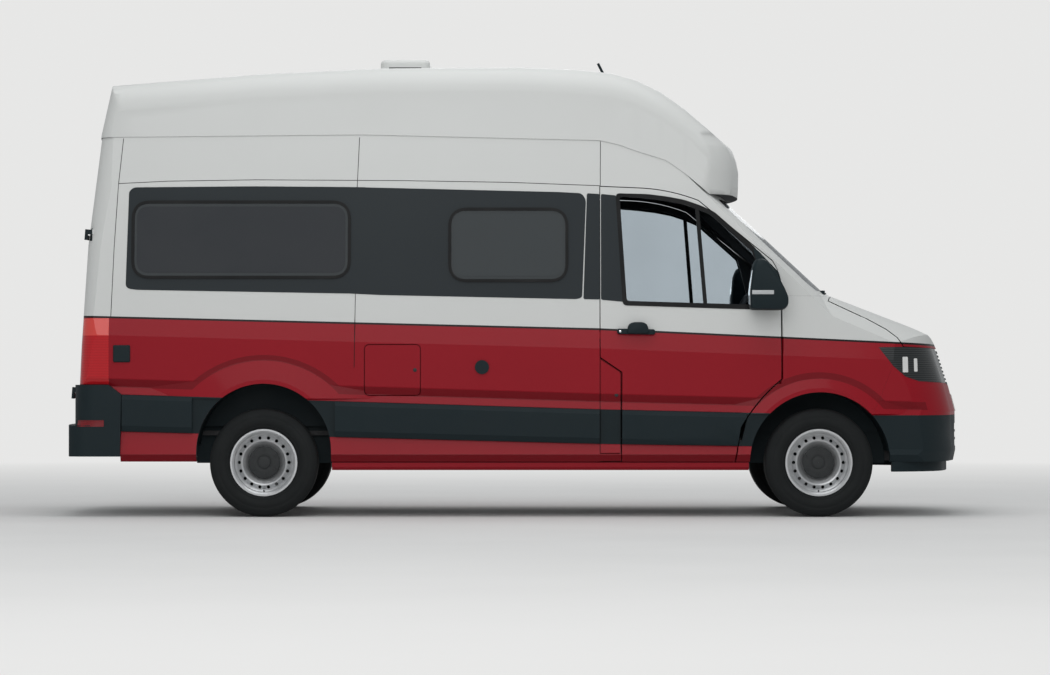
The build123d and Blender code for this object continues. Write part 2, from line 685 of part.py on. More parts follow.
# The strikers that the front doors and the sliding door close on.
STRIKER_GAP, STRIKER_Z = 0.8, 1190
strikers = pair(block(DOOR_REAR_X - SHUT_GAP - 2, DOOR_REAR_X - STRIKER_GAP, 962, 982, STRIKER_Z - 20, STRIKER_Z + 20))
slide_striker = block(SLIDE_FRONT_X + SEAT_GAP, SLIDE_FRONT_X + SLIDE_GAP + 2, 932, 952, STRIKER_Z - 20, STRIKER_Z + 20)
parts["side_wall_right"] = (one_side(walls, RIGHT) - flap_holes) + rests + strikers[1]
side_left = one_side(walls, LEFT)
parts["side_wall_left"] = (side_left - slide_hole) + strikers[0] + slide_striker
parts["sliding_door"] = side_left & slide_solid
header = (shell & below_seam(SEAM / 2)) & block(
    TAIL_X - 50, TAIL_X + 420, -HEADER_HALF + SEAM, HEADER_HALF - SEAM, REAR_DOOR_TOP + SHUT_GAP, 2600)
parts["rear_header"] = header

# Hinged side windows: each pane stands a little proud in its opening.
pane_skin = van_form(-4) - van_form(4)
PANE_GAP = SEAM
panes = []
for window in (REAR_WINDOW, SIDE_WINDOW):
    low_x, high_x, low_z, high_z = window
    pane = round_box(low_x + PANE_GAP, high_x - PANE_GAP, low_z + PANE_GAP, high_z - PANE_GAP, CORNER - PANE_GAP)
    panes += [one_side(pane_skin & across(pane, -1100, 1100), side) for side in (RIGHT, LEFT)]
parts["side_windows"] = Part() + panes

# ---- high roof, hatch and aerial ----
above = block(TAIL_X - 100, NOSE_X, -1000, 1000, 1900, 3200) - below_seam(-SEAM / 2)
roof_hollow = roof_form(ROOF_WALL) - block(FRONT_AXLE_X - 1000, NOSE_X, -1000, 1000, 2000, 2166)
parts["high_roof"] = (roof_form() - roof_hollow) & above
HATCH_X, HATCH_TOP = FRONT_AXLE_X - 2737, ROOF_TOP + 56
hatch_dome = block(HATCH_X - 167, HATCH_X + 167, -250, 250, ROOF_TOP - 30, HATCH_TOP)
hatch_dome = fillet(hatch_dome.edges().filter_by(Axis.Z), 60)
hatch_dome = fillet(hatch_dome.faces().sort_by(Axis.Z)[-1].edges(), 26)
parts["roof_hatch"] = hatch_dome - roof_form()
AERIAL_X = FRONT_AXLE_X - 1364
parts["aerial"] = (rod(9, (AERIAL_X, 0, ROOF_TOP - 76), (AERIAL_X - 65, 0, ROOF_TOP + 52))
                   + Pos(AERIAL_X, 0, ROOF_TOP - 40) * Cylinder(24, 40)) - roof_form()

# ---- cladding, sills and rear bumper ----
#   offset from the line, half width
CLAD_SHAPE = (("clad_foot", 4, 950), ("clad_foot", 8, 996), ("clad_foot", 44, 1014), ("clad_top", -34, 1018),
              ("clad_top", -6, 1004), ("clad_top", -2, 950))


def cladding_form():
    faces = []
    for x in (TAIL_X, DOOR_REAR_X, NOSE_X):
        points = [(y, line_z(name, x) + rise) for name, rise, y in CLAD_SHAPE]
        faces.append(Plane.YZ.offset(x) * make_face(Polyline(*points, close=True)))
    return loft(faces, ruled=True)


clad_left = cladding_form() - outer
clad = Part() + pair(clad_left)
rear_gap, front_gap = REAR_ARCH[2] + 26, FRONT_ARCH[2] + 22
clad_zone = block(TAIL_X + 426, DOOR_REAR_X + 134, -1100, 1100, 300, 1000) - block(
    REAR_AXLE_X - rear_gap, REAR_AXLE_X + rear_gap, -1100, 1100, 0, 1000)
clad_zone = clad_zone - flap_holes[1] - slide_hole
door_clad_zone = block(DOOR_REAR_X + 141, FRONT_ARCH[0] - front_gap, -1100, 1100, 300, 1000) & door_solid
parts["side_cladding"] = (clad & clad_zone) - rear_flares - tail_bumper_hole
parts["slide_cladding"] = clad & slide_solid & block(
    SLIDE_REAR_X, DOOR_REAR_X, 0, 1100, 300, 1000) - block(
    REAR_AXLE_X - rear_gap, REAR_AXLE_X + rear_gap, -1100, 1100, 0, 1000)
HANDLE_X, HANDLE_Z = DOOR_REAR_X + 242, 1243
for side, name in ((RIGHT, "right"), (LEFT, "left")):
    strip = one_side(clad & door_clad_zone, side) - front_flares
    grip = Pos(HANDLE_X, side * 1002, HANDLE_Z) * Box(252, 60, 60)
    grip = fillet(grip.edges(), 16) - outer
    parts["door_trim_" + name] = Part() + [strip, grip]

sill_face = make_face(Polyline((-948, 356), (-948, 326), (-926, SILL_FOOT), (-800, SILL_FOOT), (-800, 466),
                               (-868, 466), (-868, 356), close=True))
sill_solid = along(sill_face, REAR_ARCH[0] + REAR_ARCH[2] + 4, FRONT_ARCH[0] - FRONT_ARCH[2] - 6)
parts["sills"] = Part() + pair(sill_solid)

STEP_TOP = 600
bumper_low = upward(end_outline(NOSE_X, TAIL_X, 1012), 396, STEP_TOP)
bumper_high = upward(end_outline(NOSE_X, TAIL_X + 62, 1010), STEP_TOP, 866)
bumper_high = bumper_high & (Part() + pair(block(TAIL_X - 50, TAIL_X + 500, 870, 1100, 500, 900)))
bumper_bow = upward(outline((TAIL_X + 85, -1012), ((TAIL_X, 0), (TAIL_X + 85, 1012)), (TAIL_X + 500, 1012),
                            (TAIL_X + 500, -1012)), 300, 900)
tail_bumper = (bumper_low + bumper_high) & across(tail_bumper_face(), -1100, 1100) & bumper_bow
tail_hollow = upward(end_outline(NOSE_X, TAIL_X + WALL + 60, 1012 - WALL), 380, STEP_TOP - 30)
tail_hollow_high = upward(end_outline(NOSE_X, TAIL_X + 62 + WALL, 1010 - WALL), 380, 900) & (
    Part() + pair(block(TAIL_X - 50, TAIL_X + 500, 870, 1100, 380, 900)))
parts["rear_bumper"] = tail_bumper - tail_hollow - tail_hollow_high - block(
    TAIL_X + 95, TAIL_X + 500, -900, 900, 300, STEP_TOP - 30) - block(
    TAIL_X + 153, TAIL_X + 500, -868, 868, 300, STEP_TOP + 5)
low_hinge, high_hinge = body_hinges
parts["rear_bumper"] += pair(low_hinge)
parts["side_wall_left"] += high_hinge
parts["side_wall_right"] += mirror(high_hinge, Plane.XZ)

# ---- floor, rails, wheel houses ----
FLOOR_THICK = 30
LOAD_FLOOR_FRONT = DOOR_REAR_X + 120
WELL_HALF = 640
rear_well = block(REAR_AXLE_X - 500, REAR_AXLE_X + 500, WELL_HALF, 1100, 400, 1100)
floor = inner & block(TAIL_X + 155, LOAD_FLOOR_FRONT, -1000, 1000, FLOOR_Z - FLOOR_THICK, FLOOR_Z)
floor = floor - pair(rear_well) - block(DOOR_REAR_X - 12, LOAD_FLOOR_FRONT + 5, 868, 1100, 0, 1000)
floor = floor - block(DOOR_REAR_X - 12, LOAD_FLOOR_FRONT + 5, -1100, -868, 0, 1000)
cab_floor = block(LOAD_FLOOR_FRONT - 30, BULKHEAD_X - 20, -868, 868, CAB_FLOOR_Z - 34, CAB_FLOOR_Z)
riser = block(LOAD_FLOOR_FRONT - 30, LOAD_FLOOR_FRONT, -868, 868, CAB_FLOOR_Z - 34, FLOOR_Z)
front_well = block(FRONT_ARCH[0] - 480, FRONT_ARCH[0] + 480, 540, 1100, 200, 900)
parts["floor"] = floor + (cab_floor - pair(front_well)) + riser

RAIL_IN, RAIL_OUT = 430, 510
RAIL_FOOT = 420
rail = block(TAIL_X + 200, LOAD_FLOOR_FRONT - 40, RAIL_IN, RAIL_OUT, RAIL_FOOT, FLOOR_Z - FLOOR_THICK)
front_rail = block(LOAD_FLOOR_FRONT - 40, NOSE_X - 240, RAIL_IN, RAIL_OUT, RAIL_FOOT - 60, CAB_FLOOR_Z - 34)
crossings = [
    block(x - 35, x + 35, -RAIL_IN, RAIL_IN, RAIL_FOOT, FLOOR_Z - FLOOR_THICK - 40)
    for x in (TAIL_X + 235, REAR_AXLE_X - 760, REAR_AXLE_X + 760, REAR_AXLE_X + 1940, LOAD_FLOOR_FRONT - 100)
]
outriggers = [
    block(x - 25, x + 25, RAIL_OUT, 800, SILL_FOOT + 60, 430)
    for x in (REAR_AXLE_X + 760, REAR_AXLE_X + 1500, LOAD_FLOOR_FRONT - 100, FRONT_AXLE_X - 640)
]
bumper_beam = block(NOSE_X - 240, NOSE_X - 190, -540, 540, RAIL_FOOT - 60, CAB_FLOOR_Z - 34)
parts["chassis_rails"] = Part() + pair(rail) + pair(front_rail) + crossings + bumper_beam
for outrigger in outriggers:
    parts["chassis_rails"] += pair(outrigger)

LINER = 8
liners = []
for arch, well_half, foot in ((FRONT_ARCH, 575, 430), (REAR_ARCH, WELL_HALF, 470)):
    x, z, radius, _ = arch
    ring = Circle(radius + LINER) - Circle(radius + 0.5)
    liner = across(Pos(x, z) * ring, well_half, 960) & block(x - 600, x + 600, 500, 1100, foot, 1200)
    plate = across(Pos(x, z) * Circle(radius + LINER), well_half - LINER, well_half)
    plate = plate & block(x - 600, x + 600, 500, 1100, foot + 120, 1200)
    liners += pair((liner + plate) & van_form(WALL + 0.5))
parts["wheel_houses"] = Part() + liners

# ---- running gear ----
HUB_PLAY = 0.3
KING_PIN_Y = WHEEL_Y - 70
DISC_INNER = WHEEL_Y + 6
RIM_HALF = 89
#   radius, distance outboard of the wheel's middle plane: once round the wheel's section
RIM_SECTION = (
    (192, -RIM_HALF), (RIM_RADIUS, -RIM_HALF), (RIM_RADIUS, -RIM_HALF + 9), (204, -RIM_HALF + 14), (201, -40),
    (186, -20), (186, 20), (201, 44), (204, RIM_HALF - 14), (RIM_RADIUS, RIM_HALF - 9), (RIM_RADIUS, RIM_HALF),
    (208, RIM_HALF), (196, RIM_HALF - 10), (192, 52), (176, 40), (150, 56), (140, 52), (112, 22), (104, 14),
    (104, 34), (44, 34), (40, 42), (0, 42), (0, 6), (118, 6), (146, 42), (152, 44), (177, 30), (177, -20), (192, -44),
)
TYRE_HALF_SECTION = (
    (204, -RIM_HALF + 14), (RIM_RADIUS, -RIM_HALF + 9), (RIM_RADIUS + 4, -RIM_HALF - 3), (238, -108),
    (272, -TYRE_WIDTH / 2), (326, -108), (347, -94), (TYRE_RADIUS, -72),
)
VENT_HOLES, VENT_RADIUS, VENT_SIZE = 18, 163, 11


def spun(points):
    """Turn a section (radius, outboard) about a right wheel's axle, at the origin's place along the van."""
    face = make_face(Polyline(*[(r, -out) for r, out in points], close=True))
    return Pos(0, -WHEEL_Y, TYRE_RADIUS) * revolve(face, Axis.Y)


tyre_points = list(TYRE_HALF_SECTION) + [(r, -out) for r, out in reversed(TYRE_HALF_SECTION)]
tyre_points += [(201, 44), (186, 20), (186, -20), (201, -40)]
hub = Pos(0, -WHEEL_Y, TYRE_RADIUS)
vents = [
    hub * Rot(0, i * 360 / VENT_HOLES, 0) * Pos(VENT_RADIUS, 0, 0) * Rot(90, 0, 0) * Cylinder(VENT_SIZE, 160)
    for i in range(VENT_HOLES)
]
rim = spun(RIM_SECTION) - vents
tyre = spun(tyre_points)
for name, turn in (("right", 0), ("left", 180)):
    for axle, x in (("front", FRONT_AXLE_X), ("rear", REAR_AXLE_X)):
        parts[f"rim_{axle}_{name}"] = Pos(x, 0, 0) * Rot(0, 0, turn) * rim
        parts[f"tyre_{axle}_{name}"] = Pos(x, 0, 0) * Rot(0, 0, turn) * tyre

x = FRONT_AXLE_X
PIN_FOOT, PIN_TOP = 212, 500
for side, name in ((RIGHT, "right"), (LEFT, "left")):
    pin = rod(26, (x, side * KING_PIN_Y, PIN_FOOT), (x, side * KING_PIN_Y, PIN_TOP))
    spindle = rod(34, (x, side * KING_PIN_Y, TYRE_RADIUS), (x, side * (DISC_INNER - HUB_PLAY), TYRE_RADIUS))
    brake = rod(138, (x, side * (WHEEL_Y - 34), TYRE_RADIUS), (x, side * (WHEEL_Y - 12), TYRE_RADIUS))
    parts["knuckle_" + name] = pin + spindle + brake

ARM = 22
subframe = block(x - 70, x + 70, -RAIL_IN, RAIL_IN, 190, 250)
for side in (RIGHT, LEFT):
    inner_y, outer_y = sorted((side * (RAIL_IN - 10), side * 556))
    subframe += block(x - 60, x + 60, inner_y, outer_y, 190, RAIL_FOOT - 60)
    inner_y, outer_y = sorted((side * RAIL_OUT, side * 556))
    subframe += block(x - 60, x + 60, inner_y, outer_y, RAIL_FOOT - 60, PIN_TOP + HUB_PLAY + ARM)
    for foot in (PIN_FOOT - HUB_PLAY - ARM, PIN_TOP + HUB_PLAY):
        inner_y, outer_y = sorted((side * 540, side * (KING_PIN_Y + 8)))
        subframe += block(x - 24, x + 24, inner_y, outer_y, foot, foot + ARM)
parts["front_subframe"] = subframe

axle = rod(48, (REAR_AXLE_X, -WHEEL_Y + 60, TYRE_RADIUS), (REAR_AXLE_X, WHEEL_Y - 60, TYRE_RADIUS))
axle += rod(30, (REAR_AXLE_X, -DISC_INNER + HUB_PLAY, TYRE_RADIUS), (REAR_AXLE_X, DISC_INNER - HUB_PLAY, TYRE_RADIUS))
axle += Pos(REAR_AXLE_X, 0, TYRE_RADIUS) * Sphere(125)
for side in (RIGHT, LEFT):
    axle += rod(138, (REAR_AXLE_X, side * (WHEEL_Y - 34), TYRE_RADIUS), (REAR_AXLE_X, side * (WHEEL_Y - 12), TYRE_RADIUS))
    inner_y, outer_y = sorted((side * (RAIL_IN + 6), side * (RAIL_OUT - 6)))
    axle += block(REAR_AXLE_X - 640, REAR_AXLE_X + 640, inner_y, outer_y, TYRE_RADIUS + 30, TYRE_RADIUS + 50)
    for end in (-640, 600):
        axle += block(REAR_AXLE_X + end, REAR_AXLE_X + end + 40, inner_y, outer_y, TYRE_RADIUS + 30, RAIL_FOOT)
parts["rear_axle"] = axle
parts["engine"] = block(FRONT_AXLE_X + 60, NOSE_X - 300, -RAIL_IN, RAIL_IN, CAB_FLOOR_Z - 140, 1040)

EXHAUST_Y, EXHAUST_Z = 250, 362
exhaust = rod(30, (FRONT_AXLE_X - 400, EXHAUST_Y, EXHAUST_Z), (DOOR_REAR_X - 600, EXHAUST_Y, EXHAUST_Z))
exhaust += rod(65, (DOOR_REAR_X - 600, EXHAUST_Y, EXHAUST_Z), (DOOR_REAR_X - 1150, EXHAUST_Y, EXHAUST_Z))
exhaust += rod(26, (DOOR_REAR_X - 1150, EXHAUST_Y, EXHAUST_Z), (REAR_AXLE_X + 230, EXHAUST_Y, EXHAUST_Z))
for hanger_x in (DOOR_REAR_X - 875, DOOR_REAR_X - 80):
    exhaust += block(hanger_x - 15, hanger_x + 15, EXHAUST_Y - 3, EXHAUST_Y + 3, EXHAUST_Z, FLOOR_Z - FLOOR_THICK)
parts["exhaust"] = exhaust
tank = block(DOOR_REAR_X - 1150, DOOR_REAR_X - 350, -380, 60, 330, FLOOR_Z - FLOOR_THICK)
parts["fuel_tank"] = fillet(tank.edges().filter_by(Axis.X), 40)

# ---- cab fittings ----
DASH_X = FRONT_AXLE_X - 440
dash_face = outline((BULKHEAD_X - 20, 900), (BULKHEAD_X - 20, 1428), (BULKHEAD_X - 130, 1440),
                    ((DASH_X + 70, 1420), (DASH_X, 1330)), (DASH_X + 40, 1180), (DASH_X + 130, 940))
dashboard = across(dash_face, -838, 838)
SEAT_Y, SEAT_X = 430, DOOR_REAR_X + 330
seats = []
for side in (RIGHT, LEFT):
    low_y, high_y = side * SEAT_Y - 235, side * SEAT_Y + 235
    base = block(SEAT_X - 170, SEAT_X + 210, low_y + 40, high_y - 40, CAB_FLOOR_Z, 830)
    cushion = fillet(block(SEAT_X - 230, SEAT_X + 270, low_y, high_y, 820, 950).edges(), 45)
    back = across(outline((SEAT_X - 235, 880), (SEAT_X - 110, 880), (SEAT_X - 255, 1500),
                          ((SEAT_X - 300, 1535), (SEAT_X - 345, 1500))), low_y + 10, high_y - 10)
    head = fillet((Pos(SEAT_X - 325, side * SEAT_Y, 1630) * Box(100, 280, 180)).edges(), 35)
    posts = [rod(8, (SEAT_X - 312, side * SEAT_Y + off, 1480), (SEAT_X - 325, side * SEAT_Y + off, 1580))
             for off in (-70, 70)]
    seats.append(base + cushion + fillet(back.edges().filter_by(Axis.Y), 18) + head + posts)
parts["seats"] = Part() + seats

STEER_CENTRE = (DASH_X - 90, -SEAT_Y, 1290)
STEER_TILT = 28
wheel_ring = Torus(185, 15) + Pos(0, 0, -18) * Cylinder(58, 44)
for turn in (0, 120, 240):
    wheel_ring += Rot(0, 0, turn) * Pos(100, 0, -14) * Box(170, 34, 14)
COLUMN_FREE = 118
wheel_ring += Pos(0, 0, -38 - COLUMN_FREE / 2) * Cylinder(24, COLUMN_FREE)
steer_place = Pos(*STEER_CENTRE) * Rot(0, -90 + STEER_TILT, 0)
parts["steering_wheel"] = steer_place * wheel_ring
column_bore = steer_place * Pos(0, 0, -60 - COLUMN_FREE / 2) * Cylinder(24 + HUB_PLAY, COLUMN_FREE + 60)
parts["dashboard"] = dashboard - column_bore

# ---- mirrors, wipers and filler caps ----
for side, name in ((RIGHT, "right"), (LEFT, "left")):
    housing = Pos(FRONT_AXLE_X - 392, side * 1118, 1522) * Box(150, 190, 348)
    housing = fillet(housing.edges(), 34)
    arm = Pos(FRONT_AXLE_X - 372, side * 1000, 1400) * Box(78, 110, 56)
    lug = Pos(FRONT_AXLE_X - 340, side * 958, 1412) * Box(120, 60, 86)
    parts["mirror_" + name] = (housing + arm + lug) - outer

# Each wiper: pivot y, tip y
wipers = []
for pivot_y, tip_y in ((-620, -40), (60, 640)):
    pivot_x = FRONT_AXLE_X + 118 - SCREEN_BOW * (pivot_y / 870) ** 2
    tip_x = FRONT_AXLE_X + 106 - SCREEN_BOW * (tip_y / 870) ** 2
    wipers.append(rod(9, (pivot_x, pivot_y, 1484), (tip_x, tip_y, 1496)))
    wipers.append(rod(16, (pivot_x, pivot_y, 1450), (pivot_x, pivot_y, 1492)))
parts["wipers"] = (Part() + wipers) - parts["cab_frame"] - parts["windscreen"]

WATER_CAP = (DOOR_REAR_X - 777, 982, 46)
POWER_CAP = (TAIL_X + 424, 1070, 112)
water = rod(WATER_CAP[2], (WATER_CAP[0], -1012, WATER_CAP[1]), (WATER_CAP[0], -960, WATER_CAP[1]))
power = fillet((Pos(POWER_CAP[0], -990, POWER_CAP[1]) * Box(POWER_CAP[2], 48, POWER_CAP[2])).edges(), 9)
parts["filler_caps"] = Part() + [water - outer, power - outer]

os.makedirs("parts", exist_ok=True)
for name, part in parts.items():
    export_step(Compound(children=list(part.solids())), f"parts/{name}.step")
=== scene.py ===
import math

import bmesh
import bpy
from mathutils import Matrix, Vector
from mathutils.bvhtree import BVHTree


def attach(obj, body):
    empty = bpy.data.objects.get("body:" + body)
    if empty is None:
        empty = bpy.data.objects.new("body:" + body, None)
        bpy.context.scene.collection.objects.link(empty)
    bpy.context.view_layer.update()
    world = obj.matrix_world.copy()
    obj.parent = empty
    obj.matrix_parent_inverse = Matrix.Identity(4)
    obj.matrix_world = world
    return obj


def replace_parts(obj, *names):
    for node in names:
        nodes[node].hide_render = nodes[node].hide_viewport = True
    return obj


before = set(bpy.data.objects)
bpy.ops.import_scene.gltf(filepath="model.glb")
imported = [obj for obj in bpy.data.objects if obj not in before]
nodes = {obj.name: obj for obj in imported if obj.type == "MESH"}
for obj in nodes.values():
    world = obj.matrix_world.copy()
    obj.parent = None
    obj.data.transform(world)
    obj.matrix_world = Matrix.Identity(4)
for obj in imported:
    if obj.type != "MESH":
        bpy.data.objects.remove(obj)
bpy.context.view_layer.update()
scene = bpy.context.scene

# ---- Camera ----
# A long lens square to the van's right side, a little under window height and tilted up by half a degree.
camera = bpy.data.objects.new("camera", bpy.data.cameras.new("camera"))
scene.collection.objects.link(camera)
CAMERA_PLACE, CAMERA_PITCH, LENS, SENSOR, VIEW_END = (0.073, -24.9, 0.93), 90.59, 125.1, 36, 200
camera.location = CAMERA_PLACE
camera.rotation_euler = (math.radians(CAMERA_PITCH), 0, 0)
camera.data.lens = LENS
camera.data.sensor_width = SENSOR
camera.data.clip_end = VIEW_END
scene.camera = camera

# ---- Studio ----
# A pale floor that runs back to a pale wall, a wide soft light overhead and soft fills in front and behind.
scene.view_settings.view_transform = "Standard"
SKY_LIGHT, SKY_SEEN, SKY_STRENGTH = (0.72, 0.74, 0.75, 1), (1.29, 1.29, 1.28, 1), 0.62
world = bpy.data.worlds.new("studio")
scene.world = world
world.use_nodes = True
world_nodes, world_links = world.node_tree.nodes, world.node_tree.links
backdrop = world_nodes["Background"]
backdrop.inputs["Strength"].default_value = SKY_STRENGTH
ray = world_nodes.new("ShaderNodeLightPath")
sky = world_nodes.new("ShaderNodeMix")
sky.data_type = "RGBA"
sky.inputs[6].default_value = SKY_LIGHT
sky.inputs[7].default_value = SKY_SEEN
world_links.new(ray.outputs["Is Camera Ray"], sky.inputs[0])
world_links.new(sky.outputs[2], backdrop.inputs["Color"])


def principled(name, **settings):
    """A node material. Settings are the shader's own sockets, with underscores for spaces."""
    material = bpy.data.materials.new(name)
    material.use_nodes = True
    shader = material.node_tree.nodes["Principled BSDF"]
    for key, value in settings.items():
        shader.inputs[key.replace("_", " ")].default_value = value
    return material, material.node_tree, shader


def object_point(tree):
    return tree.nodes.new("ShaderNodeTexCoord").outputs["Object"]


def noise(tree, scale, detail):
    node = tree.nodes.new("ShaderNodeTexNoise")
    node.inputs["Scale"].default_value = scale
    node.inputs["Detail"].default_value = detail
    tree.links.new(object_point(tree), node.inputs["Vector"])
    return node.outputs["Fac"]


def spread(tree, value, low, high, to_low, to_high):
    """The value's range from low to high, stretched to another range and held inside it."""
    node = tree.nodes.new("ShaderNodeMapRange")
    for i, number in enumerate((low, high, to_low, to_high)):
        node.inputs[i + 1].default_value = number
    tree.links.new(value, node.inputs[0])
    return node.outputs[0]


def mix_colors(tree, factor, first, second):
    """The first colour at factor 0, the second at 1; each is a socket or a colour."""
    node = tree.nodes.new("ShaderNodeMix")
    node.data_type = "RGBA"
    for socket, value in ((node.inputs[0], factor), (node.inputs[6], first), (node.inputs[7], second)):
        if isinstance(value, (int, float)):
            socket.default_value = value
        elif isinstance(value, tuple):
            socket.default_value = (*value, 1)
        else:
            tree.links.new(value, socket)
    return node.outputs[2]


def tint(tree, shader, factor, first, second):
    tree.links.new(mix_colors(tree, factor, first, second), shader.inputs["Base Color"])


floor_mesh = bpy.data.meshes.new("floor")
floor_mesh.from_pydata([(-60, -40, 0), (60, -40, 0), (60, 60, 0), (-60, 60, 0)], [], [(0, 1, 2, 3)])
floor = bpy.data.objects.new("floor", floor_mesh)
scene.collection.objects.link(floor)
floor_paint, tree, shader = principled("floor_paint", Roughness=0.9)
tint(tree, shader, noise(tree, 0.8, 5), (0.66, 0.66, 0.655), (0.73, 0.73, 0.725))
# Far from the van the floor takes the wall's own brightness, so that no line shows where they meet.
FLOOR_NEAR, FLOOR_FAR, WALL_SHADE = 4.5, 15, (0.80, 0.80, 0.794, 1)
far_floor = tree.nodes.new("ShaderNodeEmission")
far_floor.inputs["Color"].default_value = WALL_SHADE
reach = tree.nodes.new("ShaderNodeVectorMath")
reach.operation = "LENGTH"
tree.links.new(object_point(tree), reach.inputs[0])
meet = tree.nodes.new("ShaderNodeMixShader")
tree.links.new(spread(tree, reach.outputs["Value"], FLOOR_NEAR, FLOOR_FAR, 0, 1), meet.inputs[0])
tree.links.new(shader.outputs[0], meet.inputs[1])
tree.links.new(far_floor.outputs[0], meet.inputs[2])
tree.links.new(meet.outputs[0], tree.nodes["Material Output"].inputs["Surface"])
floor_mesh.materials.append(floor_paint)

for name, place, aim, size, power in (
    ("light_top", (0, -1.5, 8.5), (0, 0, 1), 9, 320),
    ("light_near", (-1, -15, 6.5), (0, 0, 1.2), 10, 620),
    ("light_far", (0, 12, 6), (0, 0, 1.5), 9, 260),
):
    lamp = bpy.data.lights.new(name, "AREA")
    lamp.shape, lamp.size, lamp.energy = "DISK", size, power
    light = bpy.data.objects.new(name, lamp)
    scene.collection.objects.link(light)
    light.location = place
    light.rotation_euler = (Vector(aim) - Vector(place)).to_track_quat("-Z", "Y").to_euler()

# ---- Painted body ----
# Steel panels sprayed in two colours that meet at the belt crease. A thin dark line under the crease is
# painted shade from its lip, and the red is painted darker as shade in its folds.
# Their inner faces are lined with dark trim board, as in a fitted camper.
BELT_DOOR_X = 0.568
# width and colour of a thin dark line painted as the shade under the belt crease's lip
LINE_WIDTH, LINE_SHADE = 0.013, (0.012, 0.008, 0.009)
WHITE, RED, LINING = (0.59, 0.60, 0.59), (0.27, 0.005, 0.013), (0.055, 0.057, 0.060)
BAND = (0.009, 0.016, 0.019)
#   height at the door line, rise for each metre to the rear, and to the front
BELT, BAND_FOOT, BAND_TOP = (1.224, 0.02443, -0.04619), (0.478, 0.02583, -0.01526), (0.706, 0.03089, -0.02309)
# the groove's foot and top in the same three numbers, then how dark the painted shade in the folds makes the
# red
GROOVE_FOOT, GROOVE_TOP, GROOVE_SHADE = (0.752, 0.03089, -0.02392), (0.806, 0.03089, -0.02474), 0.62
# heights between which shade is painted along the sill
SILL_FOOT, SILL_TOP = 0.352, 0.412
#     axle x, axle z, and the inner and outer radius of the painted shade in the turn over the arch
ARCHES = ((2.0, 0.356, 0.549, 0.592), (-1.64, 0.356, 0.668, 0.706))
SKIN_Y, BAND_Y = 0.95, 0.93
HINGE_X, HINGE_Y, HINGE_HEIGHTS, HINGE_HALF = -2.775, 0.855, (1.855, 0.813), 0.042
PAINT_ROUGH, PAINT_COAT, BOARD_ROUGH = 0.42, 0.08, 0.85
#   axis, how squarely a face looks inwards along it, how far out it lies
INNER_FACES = ((0, 0.75, 2.0), (1, 0.45, 0.5), (2, 0.6, 1.4))


def object_axes(tree):
    """X, Y and Z of the place on the piece, in its own frame."""
    point = tree.nodes.new("ShaderNodeSeparateXYZ")
    tree.links.new(object_point(tree), point.inputs[0])
    return point.outputs


def calc(tree, operation, first, second=None, clamp=False):
    """A math node; each operand is a socket or a number."""
    node = tree.nodes.new("ShaderNodeMath")
    node.operation = operation
    node.use_clamp = clamp
    for i, value in enumerate((first, second)):
        if isinstance(value, (int, float)):
            node.inputs[i].default_value = value
        elif value is not None:
            tree.links.new(value, node.inputs[i])
    return node.outputs[0]


def shades(color, share):
    return tuple(c * share for c in color)


def add_bump(tree, shader, height, strength, distance):
    node = tree.nodes.new("ShaderNodeBump")
    node.inputs["Strength"].default_value = strength
    node.inputs["Distance"].default_value = distance
    tree.links.new(height, node.inputs["Height"])
    tree.links.new(node.outputs["Normal"], shader.inputs["Normal"])


def over(tree, value, limit):
    return calc(tree, "GREATER_THAN", value, limit)


def under(tree, value, limit):
    return calc(tree, "LESS_THAN", value, limit)


def both(tree, first, second):
    return calc(tree, "MULTIPLY", first, second)


def either(tree, first, second):
    return calc(tree, "ADD", first, second, clamp=True)


def inner_face(tree):
    """1 on faces that look into the van, also when their door stands open."""
    point = object_axes(tree)
    own = tree.nodes.new("ShaderNodeVectorTransform")
    own.vector_type, own.convert_from, own.convert_to = "NORMAL", "WORLD", "OBJECT"
    tree.links.new(tree.nodes.new("ShaderNodeNewGeometry").outputs["True Normal"], own.inputs[0])
    facing = tree.nodes.new("ShaderNodeSeparateXYZ")
    tree.links.new(own.outputs[0], facing.inputs[0])
    total = 0.0
    for axis, limit, away in INNER_FACES:
        normal, place = facing.outputs[axis], point[axis]
        if axis < 2:
            normal = both(tree, normal, calc(tree, "SIGN", place))
            place = calc(tree, "ABSOLUTE", place)
        total = either(tree, both(tree, under(tree, normal, -limit), over(tree, place, away)), total)
    return total


def above_line(tree, x, z, line):
    """Height over a body line that bends at the door."""
    height, rear_rise, front_rise = line
    ahead = calc(tree, "SUBTRACT", x, BELT_DOOR_X)
    rear = calc(tree, "MULTIPLY", calc(tree, "MINIMUM", ahead, 0.0), -rear_rise)
    front = calc(tree, "MULTIPLY", calc(tree, "MAXIMUM", ahead, 0.0), front_rise)
    return calc(tree, "SUBTRACT", z, calc(tree, "ADD", calc(tree, "ADD", rear, front), height))


def axle_distance(tree, x, z, axle_x, axle_z):
    away = calc(tree, "POWER", calc(tree, "SUBTRACT", x, axle_x), 2.0)
    rise = calc(tree, "POWER", calc(tree, "SUBTRACT", z, axle_z), 2.0)
    return calc(tree, "SQRT", calc(tree, "ADD", away, rise))


def painted_fold_shade(tree, x, z):
    """Where shade is painted on the red: 1 in the hollow over the cladding, in its turn over each arch, and
    along the sill.
    """
    top = above_line(tree, x, z, GROOVE_TOP)
    fold_shade = both(tree, over(tree, above_line(tree, x, z, GROOVE_FOOT), 0.0), under(tree, top, 0.0))
    for axle_x, axle_z, inner, outer in ARCHES:
        reach = axle_distance(tree, x, z, axle_x, axle_z)
        outside = over(tree, reach, inner)
        turn = both(tree, both(tree, outside, under(tree, reach, outer)), over(tree, top, 0.0))
        fold_shade = either(tree, both(tree, fold_shade, outside), turn)
    return either(tree, fold_shade, both(tree, under(tree, z, SILL_TOP), over(tree, z, SILL_FOOT)))


